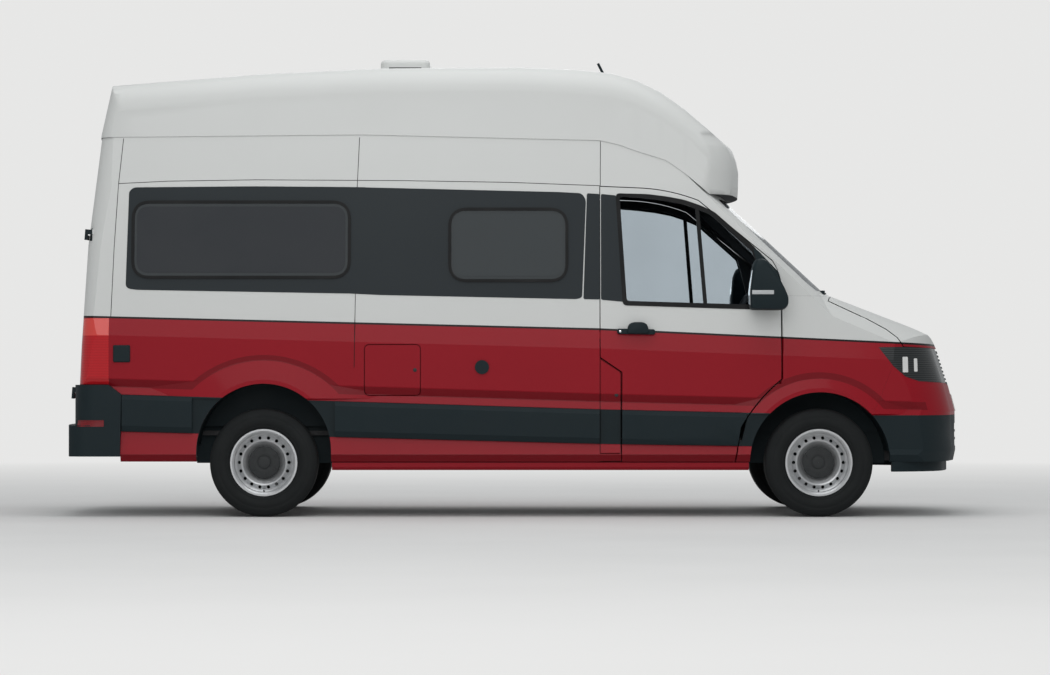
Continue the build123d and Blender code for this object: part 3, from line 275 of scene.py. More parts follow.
def two_tone_color(tree, white):
    """Red under the belt and white over it, with a thin dark line painted as shade under the belt's lip,
    painted shade in the red's folds, the black cladding band and black hinges.
    """
    x, y, z = object_axes(tree)
    aside = calc(tree, "ABSOLUTE", y)
    red = mix_colors(tree, noise(tree, 1.7, 2), RED, shades(RED, 0.93))
    # painted shade: the red is darker in the hollow over the cladding, in its turn over the arches and along
    # the sill, on the outer skin only
    fold_shade = both(tree, painted_fold_shade(tree, x, z), over(tree, aside, SKIN_Y))
    red = mix_colors(tree, fold_shade, red, shades(RED, GROOVE_SHADE))
    height = above_line(tree, x, z, BELT)
    # painted shade: a thin dark line just over the belt, under the crease's lip
    lip_shaded = mix_colors(tree, over(tree, height, 0.0), red, LINE_SHADE)
    color = mix_colors(tree, over(tree, height, LINE_WIDTH), lip_shaded, white)
    band = both(tree, over(tree, above_line(tree, x, z, BAND_FOOT), 0.0),
                under(tree, above_line(tree, x, z, BAND_TOP), 0.0))
    color = mix_colors(tree, both(tree, band, over(tree, aside, BAND_Y)), color, BAND)
    hinges = 0.0
    for middle in HINGE_HEIGHTS:
        off = calc(tree, "ABSOLUTE", calc(tree, "SUBTRACT", z, middle))
        hinges = calc(tree, "ADD", under(tree, off, HINGE_HALF), hinges)
    corner = both(tree, under(tree, x, HINGE_X), over(tree, aside, HINGE_Y))
    return mix_colors(tree, both(tree, corner, hinges), color, BAND)


def paint(name, two_tone):
    material, tree, shader = principled(
        name, Roughness=PAINT_ROUGH, Coat_Weight=PAINT_COAT, Coat_Roughness=0.08, Specular_IOR_Level=0.12)
    color = mix_colors(tree, noise(tree, 1.3, 2), WHITE, shades(WHITE, 0.97))
    if two_tone:
        color = two_tone_color(tree, color)
    inside = inner_face(tree)
    tint(tree, shader, inside, color, LINING)
    tree.links.new(spread(tree, inside, 0, 1, PAINT_ROUGH, BOARD_ROUGH), shader.inputs["Roughness"])
    tree.links.new(spread(tree, inside, 0, 1, PAINT_COAT, 0.0), shader.inputs["Coat Weight"])
    add_bump(tree, shader, noise(tree, 420, 2), 0.05, 0.0004)
    return material


def finish_nodes(material, *names):
    for name in names:
        slots = nodes[name].data.materials
        slots.clear()
        slots.append(material)


two_tone = paint("two_tone_paint", True)
white_paint = paint("white_gel_coat", False)
finish_nodes(
    two_tone, "side_wall_right", "side_wall_left", "sliding_door", "front_door_right", "front_door_left",
    "rear_door_right", "rear_door_left", "rear_header", "cab_frame", "front_wings", "bonnet", "front_bumper",
    "sills", "cassette_flap", "fuel_flap",
)
finish_nodes(white_paint, "high_roof", "roof_hatch")

# ---- Plastics, rubber, metal and glass on the carried-over nodes ----
# Grained black mouldings below the paint, smoked acrylic side windows, clear laminated glass in the cab,
# coated steel underneath.


def plastic(name, color, grain=0.25, rough=0.55, scale=900):
    """A moulding with a fine grain whose colour and gloss drift a little over the piece."""
    material, tree, shader = principled(name, Specular_IOR_Level=0.15)
    fine = noise(tree, scale, 2)
    broad = noise(tree, 4, 3)
    tint(tree, shader, broad, color, shades(color, 1.25))
    tree.links.new(spread(tree, broad, 0.3, 0.7, rough - 0.06, rough + 0.08), shader.inputs["Roughness"])
    add_bump(tree, shader, fine, grain, 0.0006)
    return material


def metal(name, color, rough, metallic=1.0, scale=60):
    """Bare or coated metal with a cloudy surface."""
    material, tree, shader = principled(name, Metallic=metallic)
    cloud = noise(tree, scale, 4)
    tint(tree, shader, cloud, color, shades(color, 0.86))
    tree.links.new(spread(tree, cloud, 0.3, 0.7, rough - 0.05, rough + 0.08), shader.inputs["Roughness"])
    add_bump(tree, shader, noise(tree, scale * 12, 2), 0.08, 0.0004)
    return material


HEAD_ON, GLANCING, GLASS_BLEND = 0.036, 0.75, 0.3


def clear_glass(name, color):
    """Thin tinted glass: light passes straight through, and the surface mirrors more at a glancing angle."""
    material, tree, shader = principled(name)
    tree.nodes.remove(shader)
    see_through = tree.nodes.new("ShaderNodeBsdfTransparent")
    tree.links.new(mix_colors(tree, noise(tree, 2.5, 3), color, shades(color, 0.95)), see_through.inputs[0])
    mirror = tree.nodes.new("ShaderNodeBsdfGlossy")
    mirror.inputs["Roughness"].default_value = 0.02
    edge = tree.nodes.new("ShaderNodeLayerWeight")
    edge.inputs["Blend"].default_value = GLASS_BLEND
    share = spread(tree, edge.outputs["Fresnel"], HEAD_ON, 1, 0.0, GLANCING)
    blend = tree.nodes.new("ShaderNodeMixShader")
    tree.links.new(share, blend.inputs[0])
    tree.links.new(see_through.outputs[0], blend.inputs[1])
    tree.links.new(mirror.outputs[0], blend.inputs[2])
    tree.links.new(blend.outputs[0], tree.nodes["Material Output"].inputs["Surface"])
    return material


black_trim = plastic("black_trim", (0.009, 0.016, 0.019))
black_gloss = plastic("black_gloss", (0.026, 0.029, 0.031), grain=0.02, rough=0.26)
dash_plastic = plastic("dash_plastic", (0.05, 0.052, 0.055), grain=0.35, rough=0.7, scale=600)
chassis_coat = metal("chassis_coat", (0.03, 0.03, 0.032), 0.6, metallic=0.2)
bare_steel = metal("bare_steel", (0.25, 0.25, 0.25), 0.5)
window_glass = clear_glass("window_glass", (0.838, 0.868, 0.888))
acrylic = plastic("smoked_acrylic", (0.020, 0.026, 0.029), grain=0.01, rough=0.14)
finish_nodes(
    black_trim, "bumper_valance", "grille", "rear_bumper", "side_cladding", "slide_cladding",
    "door_trim_right", "door_trim_left", "mirror_right", "mirror_left", "wheel_houses", "fuel_tank", "aerial",
    "wipers", "filler_caps",
)
finish_nodes(acrylic, "side_windows", "rear_glass_right", "rear_glass_left")
finish_nodes(window_glass, "windscreen", "door_glass_right", "door_glass_left")
finish_nodes(dash_plastic, "dashboard", "steering_wheel", "bulkhead")
finish_nodes(
    chassis_coat, "floor", "chassis_rails", "front_subframe", "rear_axle", "knuckle_right", "knuckle_left",
)
finish_nodes(bare_steel, "engine", "exhaust")

# ---- Dark panels round the side windows ----
# Black gloss film and bonded panels on the flat upper wall, from the tail pillar to the front door, with the
# round-cornered acrylic windows set into them on rubber frames.
#   creases of the outer wall: height at the tail, at the door and at the nose, and half width there
WALL_LINES = (
    ((0.566, 0.474, 0.437), 0.976), ((0.818, 0.708, 0.652), 0.990), ((0.868, 0.758, 0.700), 0.977),
    ((0.922, 0.812, 0.752), 1.000), ((1.200, 1.104, 1.010), 1.003), ((1.311, 1.224, 1.112), 0.982),
    ((2.180, 2.167, 2.150), 0.905), ((2.600, 2.600, 2.600), 0.854),
)
TAIL_END, NOSE_END = -2.993, 2.993
SHEET_FOLDS = WALL_LINES[5:7]
#   which way each side lies along Y
SIDES = ((-1, "right"), (1, "left"))


def crease_height(line, x):
    tail, door, nose = line[0]
    if x < BELT_DOOR_X:
        return door + (tail - door) * (BELT_DOOR_X - x) / (BELT_DOOR_X - TAIL_END)
    return door + (nose - door) * (x - BELT_DOOR_X) / (NOSE_END - BELT_DOOR_X)


def wall_y(x, z):
    """Half width of the body's outer skin at a place on its side."""
    below = WALL_LINES[0]
    for above in WALL_LINES[1:]:
        top, foot = crease_height(above, x), crease_height(below, x)
        if z <= top:
            return below[1] + (above[1] - below[1]) * (z - foot) / (top - foot)
        below = above
    return below[1]


def rounded(points, radius, steps=6):
    """A closed outline with each corner turned on an arc that starts radius away from it."""
    result = []
    for i, corner in enumerate(points):
        corner = Vector(corner)
        before, after = Vector(points[i - 1]), Vector(points[(i + 1) % len(points)])
        reach = min(radius, (before - corner).length / 2.05, (after - corner).length / 2.05)
        start = corner + (before - corner).normalized() * reach
        end = corner + (after - corner).normalized() * reach
        for k in range(steps + 1):
            t = k / steps
            result.append((1 - t) ** 2 * start + 2 * t * (1 - t) * corner + t ** 2 * end)
    return result


def mesh_of(work, name):
    """The mesh that an edit has made; the edit ends here."""
    mesh = bpy.data.meshes.new(name)
    work.to_mesh(mesh)
    work.free()
    return mesh


def add_piece(name, mesh, material, body):
    """A piece of the van that rides on a body and takes one material."""
    piece = bpy.data.objects.new(name, mesh)
    scene.collection.objects.link(piece)
    mesh.materials.append(material)
    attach(piece, body)
    return piece


def flat_sheet(outline, hole):
    """A flat sheet to be worked on; outline and hole are loops of (x or y, z) points."""
    work = bmesh.new()
    edges = []
    for loop in [outline] + ([hole] if hole else []):
        verts = [work.verts.new((u, 0, v)) for u, v in loop]
        edges += [work.edges.new((verts[i - 1], verts[i])) for i in range(len(verts))]
    bmesh.ops.triangle_fill(work, use_beauty=True, use_dissolve=False, edges=edges)
    return work


def cut(work, place, normal):
    whole_sheet = work.verts[:] + work.edges[:] + work.faces[:]
    bmesh.ops.bisect_plane(work, geom=whole_sheet, plane_co=place, plane_no=normal)


def thicken(work, axis, depth):
    """Draw the sheet out backwards along an axis into a closed skin."""
    for vert in bmesh.ops.extrude_face_region(work, geom=work.faces[:])["geom"]:
        if isinstance(vert, bmesh.types.BMVert):
            vert.co[axis] -= depth
    bmesh.ops.recalc_face_normals(work, faces=work.faces[:])


def wall_sheet(name, outline, side, material, body, proud=0.0015, hole=None, thick=0.004):
    """A thin sheet that follows the side wall."""
    work = flat_sheet(outline, hole)
    for line in SHEET_FOLDS:
        cut(work, (0, 0, crease_height(line, 0)), (0, 0, 1))
    for face in work.faces:
        face.normal_update()
        if face.normal.y * side < 0:
            face.normal_flip()
    for vert in work.verts:
        vert.co.y = side * (wall_y(vert.co.x, vert.co.z) + proud)
    thicken(work, 1, side * thick)
    return add_piece(name, mesh_of(work, name), material, body)


def box_loop(low_x, high_x, low_z, high_z, radius):
    return rounded([(low_x, low_z), (high_x, low_z), (high_x, high_z), (low_x, high_z)], radius * 1.35, 10)


def grown(box, out_x, out_z, radius):
    """The box's rounded outline, moved outwards along X and Z."""
    low_x, high_x, low_z, high_z = box
    return box_loop(low_x - out_x, high_x + out_x, low_z - out_z, high_z + out_z, radius)


film, tree, shader = principled("black_film", Roughness=0.35, Specular_IOR_Level=0.12)
tint(tree, shader, noise(tree, 0.9, 2), (0.013, 0.018, 0.022), (0.021, 0.027, 0.030))
add_bump(tree, shader, noise(tree, 300, 2), 0.03, 0.0004)
frame_rubber = plastic("frame_rubber", (0.003, 0.0035, 0.004), grain=0.1, rough=0.4)
deep_acrylic = plastic("deep_acrylic", (0.008, 0.011, 0.015), grain=0.01, rough=0.14)
REAR_WINDOW = (-2.506, -1.077, 1.568, 2.072)
SIDE_WINDOW = (-0.425, 0.352, 1.546, 2.025)
WINDOW_CORNER, FRAME_OUT, FRAME_IN, FIELD_IN_X, FIELD_IN_Z = 0.088, 0.006, 0.014, 0.030, 0.034
REAR_FILM = [(-2.548, 1.500), (-2.480, 1.489), (-1.044, 1.464), (-1.034, 2.167), (-1.703, 2.172),
             (-2.50, 2.165), (-2.531, 2.140)]
SIDE_FILM = [(-1.036, 1.463), (-0.878, 1.455), (0.414, 1.428), (0.448, 1.440), (0.474, 2.084), (0.446, 2.126),
             (0.303, 2.134), (-1.026, 2.166)]
POST_FILM = [(0.456, 1.428), (0.564, 1.4255), (0.5645, 2.1215), (0.480, 2.126)]
JOIN_FILM = [(-1.100, 1.466), (-0.980, 1.460), (-0.980, 2.166), (-1.100, 2.167)]
DOOR_FILM = [(0.5715, 1.424), (0.722, 1.410), (0.672, 2.112), (0.5720, 2.121)]
for side, name in SIDES:
    for label, loop, window, corner in (
        ("rear", REAR_FILM, REAR_WINDOW, 0.05), ("side", SIDE_FILM, SIDE_WINDOW, 0.03),
        ("post", POST_FILM, None, 0.012),
    ):
        hole = box_loop(*window, WINDOW_CORNER) if window else None
        wall_sheet(f"film_{label}_{name}", rounded(loop, corner), side, film, "body", hole=hole)
    wall_sheet(f"film_join_{name}", JOIN_FILM, side, film, "body", proud=0.0018)
    wall_sheet(f"film_door_{name}", rounded(DOOR_FILM, 0.012), side, film, f"door_{name}")
    for label, window, pane in (("rear", REAR_WINDOW, deep_acrylic), ("side", SIDE_WINDOW, acrylic)):
        outside = grown(window, FRAME_OUT, FRAME_OUT, WINDOW_CORNER + FRAME_OUT)
        inside = grown(window, -FRAME_IN, -FRAME_IN, WINDOW_CORNER - FRAME_IN)
        wall_sheet(f"window_frame_{label}_{name}", outside, side, frame_rubber, "body",
                   proud=0.010, hole=inside, thick=0.009)
        field = grown(window, -FIELD_IN_X, -FIELD_IN_Z, WINDOW_CORNER - FIELD_IN_X)
        wall_sheet(f"window_field_{label}_{name}", field, side, pane, "body", proud=0.0075)

# ---- High roof ----
# One moulded glass-fibre roof, bonded to the body's top. Its skin is one smooth gel coat, so the shading runs
# on over the mould's stations.

ROOF_SKIN, WELD = 34, 1e-5


def smooth(piece, angle):
    """Shading that runs on over edges that turn less than the angle, in degrees."""
    for face in piece.data.polygons:
        face.use_smooth = True
    piece.data.set_sharp_from_angle(angle=math.radians(angle))
    return piece


def welded_copy(node, material, body, angle, drop=None):
    """A welded copy of a node that stands for it, shaded smooth below the angle. Loose parts wholly between
    the two (x, z) corners of drop are left out."""
    work = bmesh.new()
    work.from_mesh(nodes[node].data)
    bmesh.ops.remove_doubles(work, verts=work.verts, dist=WELD)
    seen, unwanted = set(), []
    for first in work.verts if drop else ():
        if first in seen:
            continue
        island, edge = {first}, [first]
        while edge:
            for link in edge.pop().link_edges:
                for other in link.verts:
                    if other not in island:
                        island.add(other)
                        edge.append(other)
        seen |= island
        if all(drop[0][0] < v.co.x < drop[1][0] and drop[0][1] < v.co.z < drop[1][1] for v in island):
            unwanted += list(island)
    bmesh.ops.delete(work, geom=unwanted, context="VERTS")
    piece = smooth(add_piece(node + "_skin", mesh_of(work, node + "_skin"), material, body), angle)
    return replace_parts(piece, node)


welded_copy("high_roof", white_paint, "body", ROOF_SKIN)

# ---- Panel joints ----
# Sealed joints between the welded and bonded panels: narrow black beads in the side walls' folds.
JOINT_WIDTH, JOINT_STEP = 0.005, 0.12
#   across the bead in half widths, how far it stands out of the wall
JOINT_SECTION = ((1, -0.001), (0.6, 0.0012), (-0.6, 0.0012), (-1, -0.001))


def bead(name, points, side, body):
    """A flat black bead along (x, z) points on the side wall."""
    curve = []
    for a, b in zip(points, points[1:]):
        steps = max(1, int((Vector(b) - Vector(a)).length / JOINT_STEP))
        curve += [Vector(a).lerp(Vector(b), k / steps) for k in range(steps)]
    curve.append(Vector(points[-1]))
    verts, faces = [], []
    for i, here in enumerate(curve):
        run = (curve[min(i + 1, len(curve) - 1)] - curve[max(i - 1, 0)]).normalized()
        across = Vector((-run.y, run.x)) * JOINT_WIDTH / 2
        for share, lift in JOINT_SECTION:
            x, z = here + across * share
            verts.append((x, side * (wall_y(x, z) + lift), z))
    for i in range(len(curve) - 1):
        for k in range(3):
            faces.append((4 * i + k, 4 * i + k + 1, 4 * i + k + 5, 4 * i + k + 4))
    mesh = bpy.data.meshes.new(name)
    mesh.from_pydata(verts, [], faces)
    return add_piece(name, mesh, frame_rubber, body)


TOP_JOINT = [(-2.600, 2.190), (-2.275, 2.206), (-1.703, 2.215), (-0.749, 2.210), (-0.026, 2.198),
             (0.565, 2.176)]
TAIL_JOINT = [(-2.572, 2.490), (-2.601, 2.191), (-2.625, 1.784), (-2.643, 1.310)]
MID_JOINT = [(-1.017, 2.497), (-1.031, 2.167), (-1.040, 1.462), (-1.046, 0.990), (-1.052, 0.820)]
DOOR_JOINT = [(0.570, 2.470), (0.568, 2.176)]
for side, name in SIDES:
    bead(f"joint_top_{name}", TOP_JOINT, side, "body")
    bead(f"joint_tail_{name}", TAIL_JOINT, side, "body")
    bead(f"joint_door_{name}", DOOR_JOINT, side, "body")
    if name == "right":
        bead("joint_mid_right", MID_JOINT, side, "body")

# ---- Wheels ----
# Pressed steel rims and tyres with a grooved tread and raised rings on the sidewall. A black plastic cap with
# moulded bolt heads and ribs, set round it in two rings, covers each hub, and a valve stands in each rim.
wheel_silver = metal("wheel_silver", (0.52, 0.53, 0.54), 0.34, metallic=0.75, scale=40)
finish_nodes(wheel_silver, "rim_front_right", "rim_front_left", "rim_rear_right", "rim_rear_left")
rubber, tree, shader = principled("tyre_rubber", Specular_IOR_Level=0.2)
dust = noise(tree, 9, 4)
tint(tree, shader, dust, (0.006, 0.0075, 0.008), (0.012, 0.0135, 0.014))
tree.links.new(spread(tree, dust, 0.3, 0.7, 0.62, 0.82), shader.inputs["Roughness"])
add_bump(tree, shader, noise(tree, 260, 3), 0.15, 0.0008)
AXLES = {"front": 2.0, "rear": -1.64}
WHEEL_Y, TYRE_RADIUS = 0.8825, 0.356
EASED, ROD = 40, 35


def outward(mesh, weld=False):
    """The mesh with every face turned outwards, and if asked for with doubled points made one."""
    work = bmesh.new()
    work.from_mesh(mesh)
    if weld:
        bmesh.ops.remove_doubles(work, verts=work.verts, dist=WELD)
    bmesh.ops.recalc_face_normals(work, faces=work.faces[:])
    work.to_mesh(mesh)
    work.free()
    return mesh


def lathe(name, profile, place, axis_side, material, body, segments=64):
    """Turn (radius, outboard) points about an axle that runs along Y through place."""
    verts, faces = [], []
    count = len(profile)
    for i in range(segments):
        a = 2 * math.pi * i / segments
        for radius, out in profile:
            ahead, up = radius * math.cos(a), radius * math.sin(a)
            verts.append((place[0] + ahead, place[1] + axis_side * out, place[2] + up))
    for i in range(segments):
        nxt = (i + 1) % segments
        for k in range(count - 1):
            faces.append((i * count + k, i * count + k + 1, nxt * count + k + 1, nxt * count + k))
    mesh = bpy.data.meshes.new(name)
    mesh.from_pydata(verts, [], faces)
    return smooth(add_piece(name, outward(mesh, weld=True), material, body), EASED)


def pin(work, spot, radii, length, tilt, axis, segments):
    """A round or tapered rod with its middle at spot, tilted by degrees from upright."""
    set_up = Matrix.Translation(spot) @ Matrix.Rotation(math.radians(tilt), 4, axis)
    bmesh.ops.create_cone(work, cap_ends=True, segments=segments, radius1=radii[0], radius2=radii[1],
                          depth=length, matrix=set_up)


TYRE_PROFILE = [
    (0.2215, 0.086), (0.226, 0.094), (0.233, 0.101), (0.238, 0.106), (0.243, 0.1062), (0.246, 0.1095),
    (0.262, 0.1145), (0.272, 0.1163), (0.288, 0.1165), (0.291, 0.1152), (0.303, 0.1132), (0.306, 0.1140),
    (0.318, 0.1108), (0.330, 0.1050), (0.340, 0.0985), (0.347, 0.0920), (0.3515, 0.0850), (0.3535, 0.0780),
]
TREAD_HALF, CROWN, CROWN_FALL = 0.078, 0.3556, 0.0018
GROOVES, GROOVE_DEPTH, MOUTH_HALF, BED_HALF = (0.050, 0.018, -0.018, -0.050), 0.0075, 0.0052, 0.0036
tread = []
for centre in GROOVES:
    crown = CROWN - CROWN_FALL * abs(centre) / TREAD_HALF
    tread += [(crown, centre + MOUTH_HALF), (crown - GROOVE_DEPTH, centre + BED_HALF),
              (crown - GROOVE_DEPTH, centre - BED_HALF), (crown, centre - MOUTH_HALF)]
full_profile = TYRE_PROFILE + tread + [(r, -out) for r, out in reversed(TYRE_PROFILE)]
CAP_PROFILE = [
    (0.1050, 0.018), (0.1045, 0.0375), (0.1015, 0.0405), (0.094, 0.0412), (0.066, 0.0440), (0.050, 0.0448),
    (0.046, 0.0425), (0.042, 0.0428), (0.040, 0.0490), (0.036, 0.0515), (0.020, 0.0525), (0.0005, 0.0528),
]
BOLTS, BOLT_RING, BOLT_OUT = 6, 0.080, 0.0425
RIBS, RIB_RING, RIB_OUT, RIB_SIZE = 12, 0.096, 0.0415, (0.013, 0.003, 0.0035, 1)


def node_of(tree, kind, **inputs):
    """A node with other nodes' sockets linked to its inputs by name."""
    node = tree.nodes.new(kind)
    for label, value in inputs.items():
        tree.links.new(value, node.inputs[label])
    return node


def ring_tree():
    """Copies of one small part round an axle along Y. Follow turns each copy with the ring."""
    tree = bpy.data.node_groups.new("ring_of_parts", "GeometryNodeTree")
    for label, kind in (("Part", "Geometry"), ("Count", "Int"), ("Ring Radius", "Float"),
                        ("First Turn", "Float"), ("Follow", "Float"), ("Centre", "Vector"),
                        ("Finish", "Material")):
        tree.interface.new_socket(name=label, in_out="INPUT", socket_type="NodeSocket" + kind)
    tree.interface.new_socket(name="Ring", in_out="OUTPUT", socket_type="NodeSocketGeometry")
    given = tree.nodes.new("NodeGroupInput").outputs
    step = calc(tree, "DIVIDE", 2 * math.pi, given["Count"])
    index = tree.nodes.new("GeometryNodeInputIndex").outputs[0]
    turn = calc(tree, "ADD", calc(tree, "MULTIPLY", index, step), given["First Turn"])
    ahead = calc(tree, "MULTIPLY", calc(tree, "COSINE", turn), given["Ring Radius"])
    up = calc(tree, "MULTIPLY", calc(tree, "SINE", turn), given["Ring Radius"])
    spot = node_of(tree, "ShaderNodeCombineXYZ", X=ahead, Z=up).outputs[0]
    points = node_of(tree, "GeometryNodePoints", Count=given["Count"]).outputs[0]
    placed = node_of(tree, "GeometryNodeSetPosition", Geometry=points, Position=spot, Offset=given["Centre"])
    back = calc(tree, "MULTIPLY", calc(tree, "MULTIPLY", turn, -1.0), given["Follow"])
    facing = node_of(tree, "ShaderNodeCombineXYZ", Y=back).outputs[0]
    turned = node_of(tree, "FunctionNodeEulerToRotation", Euler=facing).outputs[0]
    copies = node_of(tree, "GeometryNodeInstanceOnPoints", Points=placed.outputs[0], Instance=given["Part"],
                     Rotation=turned)
    real = node_of(tree, "GeometryNodeRealizeInstances", Geometry=copies.outputs[0])
    finished = node_of(tree, "GeometryNodeSetMaterial", Geometry=real.outputs[0], Material=given["Finish"])
    tree.links.new(finished.outputs[0], tree.nodes.new("NodeGroupOutput").inputs[0])
    return tree


def ring_of(tree, part, **sizes):
    """The plain mesh that the tree makes of a part's edit."""
    seed = bpy.data.objects.new("seed", mesh_of(part, "seed"))
    scene.collection.objects.link(seed)
    ring = seed.modifiers.new("ring", "NODES")
    ring.node_group = tree
    for item in tree.interface.items_tree:
        label = item.name.replace(" ", "_").lower()
        if label in sizes:
            ring[item.identifier] = sizes[label]
    mesh = bpy.data.meshes.new_from_object(seed.evaluated_get(bpy.context.evaluated_depsgraph_get()))
    bpy.data.objects.remove(seed)
    return mesh


cap_black = plastic("cap_black", (0.03, 0.032, 0.033), grain=0.3, rough=0.5)
parts_ring = ring_tree()
for axle, x in AXLES.items():
    for side, name in SIDES:
        hub = (x, side * WHEEL_Y, TYRE_RADIUS)
        body = f"wheel_{axle}_{name}"
        tyre = lathe(f"tread_{axle}_{name}", full_profile, hub, side, rubber, body, 96)
        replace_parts(tyre, f"tyre_{axle}_{name}")
        lathe(f"cap_{axle}_{name}", CAP_PROFILE, hub, side, cap_black, body)
        bolt, rib, detail = bmesh.new(), bmesh.new(), bmesh.new()
        pin(bolt, (0, 0, 0), (0.0105, 0.009), 0.006, -90 * side, "X", 6)
        bmesh.ops.create_cube(rib, size=1, matrix=Matrix.Diagonal(RIB_SIZE))
        detail.from_mesh(ring_of(
            parts_ring, bolt, count=BOLTS, ring_radius=BOLT_RING, first_turn=math.pi / BOLTS, follow=0.0,
            centre=(hub[0], hub[1] + side * BOLT_OUT, hub[2]), finish=cap_black))
        detail.from_mesh(ring_of(
            parts_ring, rib, count=RIBS, ring_radius=RIB_RING, first_turn=0.0, follow=1.0,
            centre=(hub[0], hub[1] + side * RIB_OUT, hub[2]), finish=cap_black))
        label = f"cap_detail_{axle}_{name}"
        add_piece(label, mesh_of(detail, label), cap_black, body)
        valve = bmesh.new()
        foot = (hub[0], hub[1] + side * 0.062, hub[2] - 0.186)
        pin(valve, foot, (0.0055, 0.004), 0.034, -80 * side, "X", 12)
        label = f"valve_{axle}_{name}"
        smooth(add_piece(label, mesh_of(valve, label), cap_black, body), ROD)

# ---- Lamps ----
# Dark headlamps and red tail lamps of moulded plastic, let into the body's corners. Ribs are shaded across
# both, and the tail lamps have a pale upper field.
PALE_FROM = 1.19


def waves(tree, scale, direction="X"):
    """Even bands across the piece."""
    node = tree.nodes.new("ShaderNodeTexWave")
    node.inputs["Scale"].default_value = scale
    node.bands_direction = direction
    tree.links.new(object_point(tree), node.inputs["Vector"])
    return node.outputs["Fac"]


lamp_dark, tree, shader = principled("lamp_dark", Roughness=0.2, Coat_Weight=0.1, Specular_IOR_Level=0.2)
tint(tree, shader, waves(tree, 22, "Z"), (0.010, 0.012, 0.013), (0.036, 0.039, 0.040))
finish_nodes(lamp_dark, "headlamps")
tail_red, tree, shader = principled(
    "tail_red", Roughness=0.16, Coat_Weight=0.3, Coat_Roughness=0.02, Specular_IOR_Level=0.2)
field = mix_colors(tree, waves(tree, 30, "Z"), (0.36, 0.006, 0.010), (0.50, 0.012, 0.018))
tint(tree, shader, over(tree, object_axes(tree)[2], PALE_FROM), field, (0.62, 0.06, 0.05))
finish_nodes(tail_red, "tail_lamps")

# ---- Cab windows ----
# Each door window stands in a black rubber frame, with an upright guide bar behind its front third, and a
# black sail panel fills the corner by the windscreen pillar, where the mirror is fixed.
DOOR_WINDOW = [(0.686, 2.107), (0.871, 2.101), (1.000, 2.085), (1.110, 2.063), (1.208, 2.030), (1.298, 1.991),
               (1.575, 1.745), (1.670, 1.380), (0.735, 1.409)]
DOOR_FRAME = [(0.668, 2.126), (0.875, 2.121), (1.005, 2.105), (1.120, 2.083), (1.222, 2.048), (1.315, 2.006),
              (1.597, 1.757), (1.700, 1.356), (0.714, 1.387)]
GUIDE_BAR = [(1.190, 2.050), (1.216, 2.040), (1.270, 1.384), (1.244, 1.385)]
SAIL = [(1.572, 1.762), (1.600, 1.752), (1.737, 1.607), (1.748, 1.560), (1.748, 1.368), (1.668, 1.368)]


def inset_loop(loop, distance):
    """The loop with each point moved inwards by the distance."""
    turn = 1 if sum(a[0] * b[1] - b[0] * a[1] for a, b in zip(loop, loop[1:] + loop[:1])) > 0 else -1
    result = []
    for i, here in enumerate(loop):
        run = (Vector(loop[(i + 1) % len(loop)]) - Vector(loop[i - 1])).normalized()
        result.append(Vector(here) + Vector((-run.y, run.x)) * turn * distance)
    return result


for side, name in SIDES:
    hole = rounded(inset_loop(DOOR_WINDOW, 0.010), 0.02)
    wall_sheet(f"door_window_frame_{name}", rounded(DOOR_FRAME, 0.03), side, frame_rubber, f"door_{name}",
               proud=0.003, hole=hole, thick=0.009)
    wall_sheet(f"door_window_bar_{name}", GUIDE_BAR, side, frame_rubber, f"door_{name}",
               proud=-0.002, thick=0.012)
    wall_sheet(f"door_sail_{name}", rounded(SAIL, 0.012), side, black_trim, f"door_{name}",
               proud=0.006, thick=0.011)

# ---- Mirrors ----
# Black moulded housings on a short foot, glass to the rear, and a clear indicator strip along the outer side.
HOUSING = [(1.536, 1.354), (1.534, 1.471), (1.553, 1.630), (1.585, 1.690), (1.640, 1.688), (1.700, 1.612),
           (1.760, 1.512), (1.795, 1.432), (1.790, 1.378), (1.757, 1.352)]
#   distance from the middle, how far the outline shrinks, how much of its length it keeps
HOUSING_RINGS = ((1.024, 0.86, 0.74), (1.036, 0.95, 0.78), (1.065, 1.0, 0.82), (1.165, 1.0, 0.98),
                 (1.196, 0.95, 1.0), (1.208, 0.84, 1.0))
HOUSING_BACK, HOUSING_MIDDLE = 1.536, Vector((1.64, 1.50))
PANE = [(1.5345, 1.385), (1.5328, 1.471), (1.5502, 1.612), (1.560, 1.612), (1.545, 1.471), (1.545, 1.385)]
PANE_ENDS = (1.060, 1.180)
mirror_silver, tree, shader = principled("mirror_silver", Metallic=1.0, Roughness=0.04)
tint(tree, shader, noise(tree, 5, 2), (0.70, 0.71, 0.72), (0.74, 0.75, 0.76))
lens_clear, tree, shader = principled("clear_lens", Roughness=0.15, Specular_IOR_Level=0.3)
tint(tree, shader, noise(tree, 160, 2), (0.36, 0.38, 0.39), (0.50, 0.51, 0.52))


def ring_solid(name, rings, material, body):
    """A closed skin over rings that all hold the same number of points."""
    count = len(rings[0])
    verts = [tuple(point) for ring in rings for point in ring]
    faces = [tuple(range(count)), tuple(range((len(rings) - 1) * count, len(rings) * count))]
    for i in range(len(rings) - 1):
        for k in range(count):
            k2 = (k + 1) % count
            faces.append((i * count + k, i * count + k2, (i + 1) * count + k2, (i + 1) * count + k))
    mesh = bpy.data.meshes.new(name)
    mesh.from_pydata(verts, [], faces)
    return smooth(add_piece(name, outward(mesh), material, body), EASED)


def brick(name, low, high, material, body, slot, bevel=0.004):
    """A block between two corners with eased edges."""
    work = bmesh.new()
    bmesh.ops.create_cube(work, size=1)
    for vert in work.verts:
        vert.co = Vector([low[i] + (vert.co[i] + 0.5) * (high[i] - low[i]) for i in range(3)])
    if bevel:
        bmesh.ops.bevel(work, geom=work.edges[:], offset=bevel, segments=2, profile=0.7, affect="EDGES")
    return smooth(add_piece(name, mesh_of(work, name), material, body), EASED)


def sided(side, low, high):
    """Corner points with Y measured out from the middle on one side of the van."""
    a, b = sorted((side * low[1], side * high[1]))
    return (low[0], a, low[2]), (high[0], b, high[2])


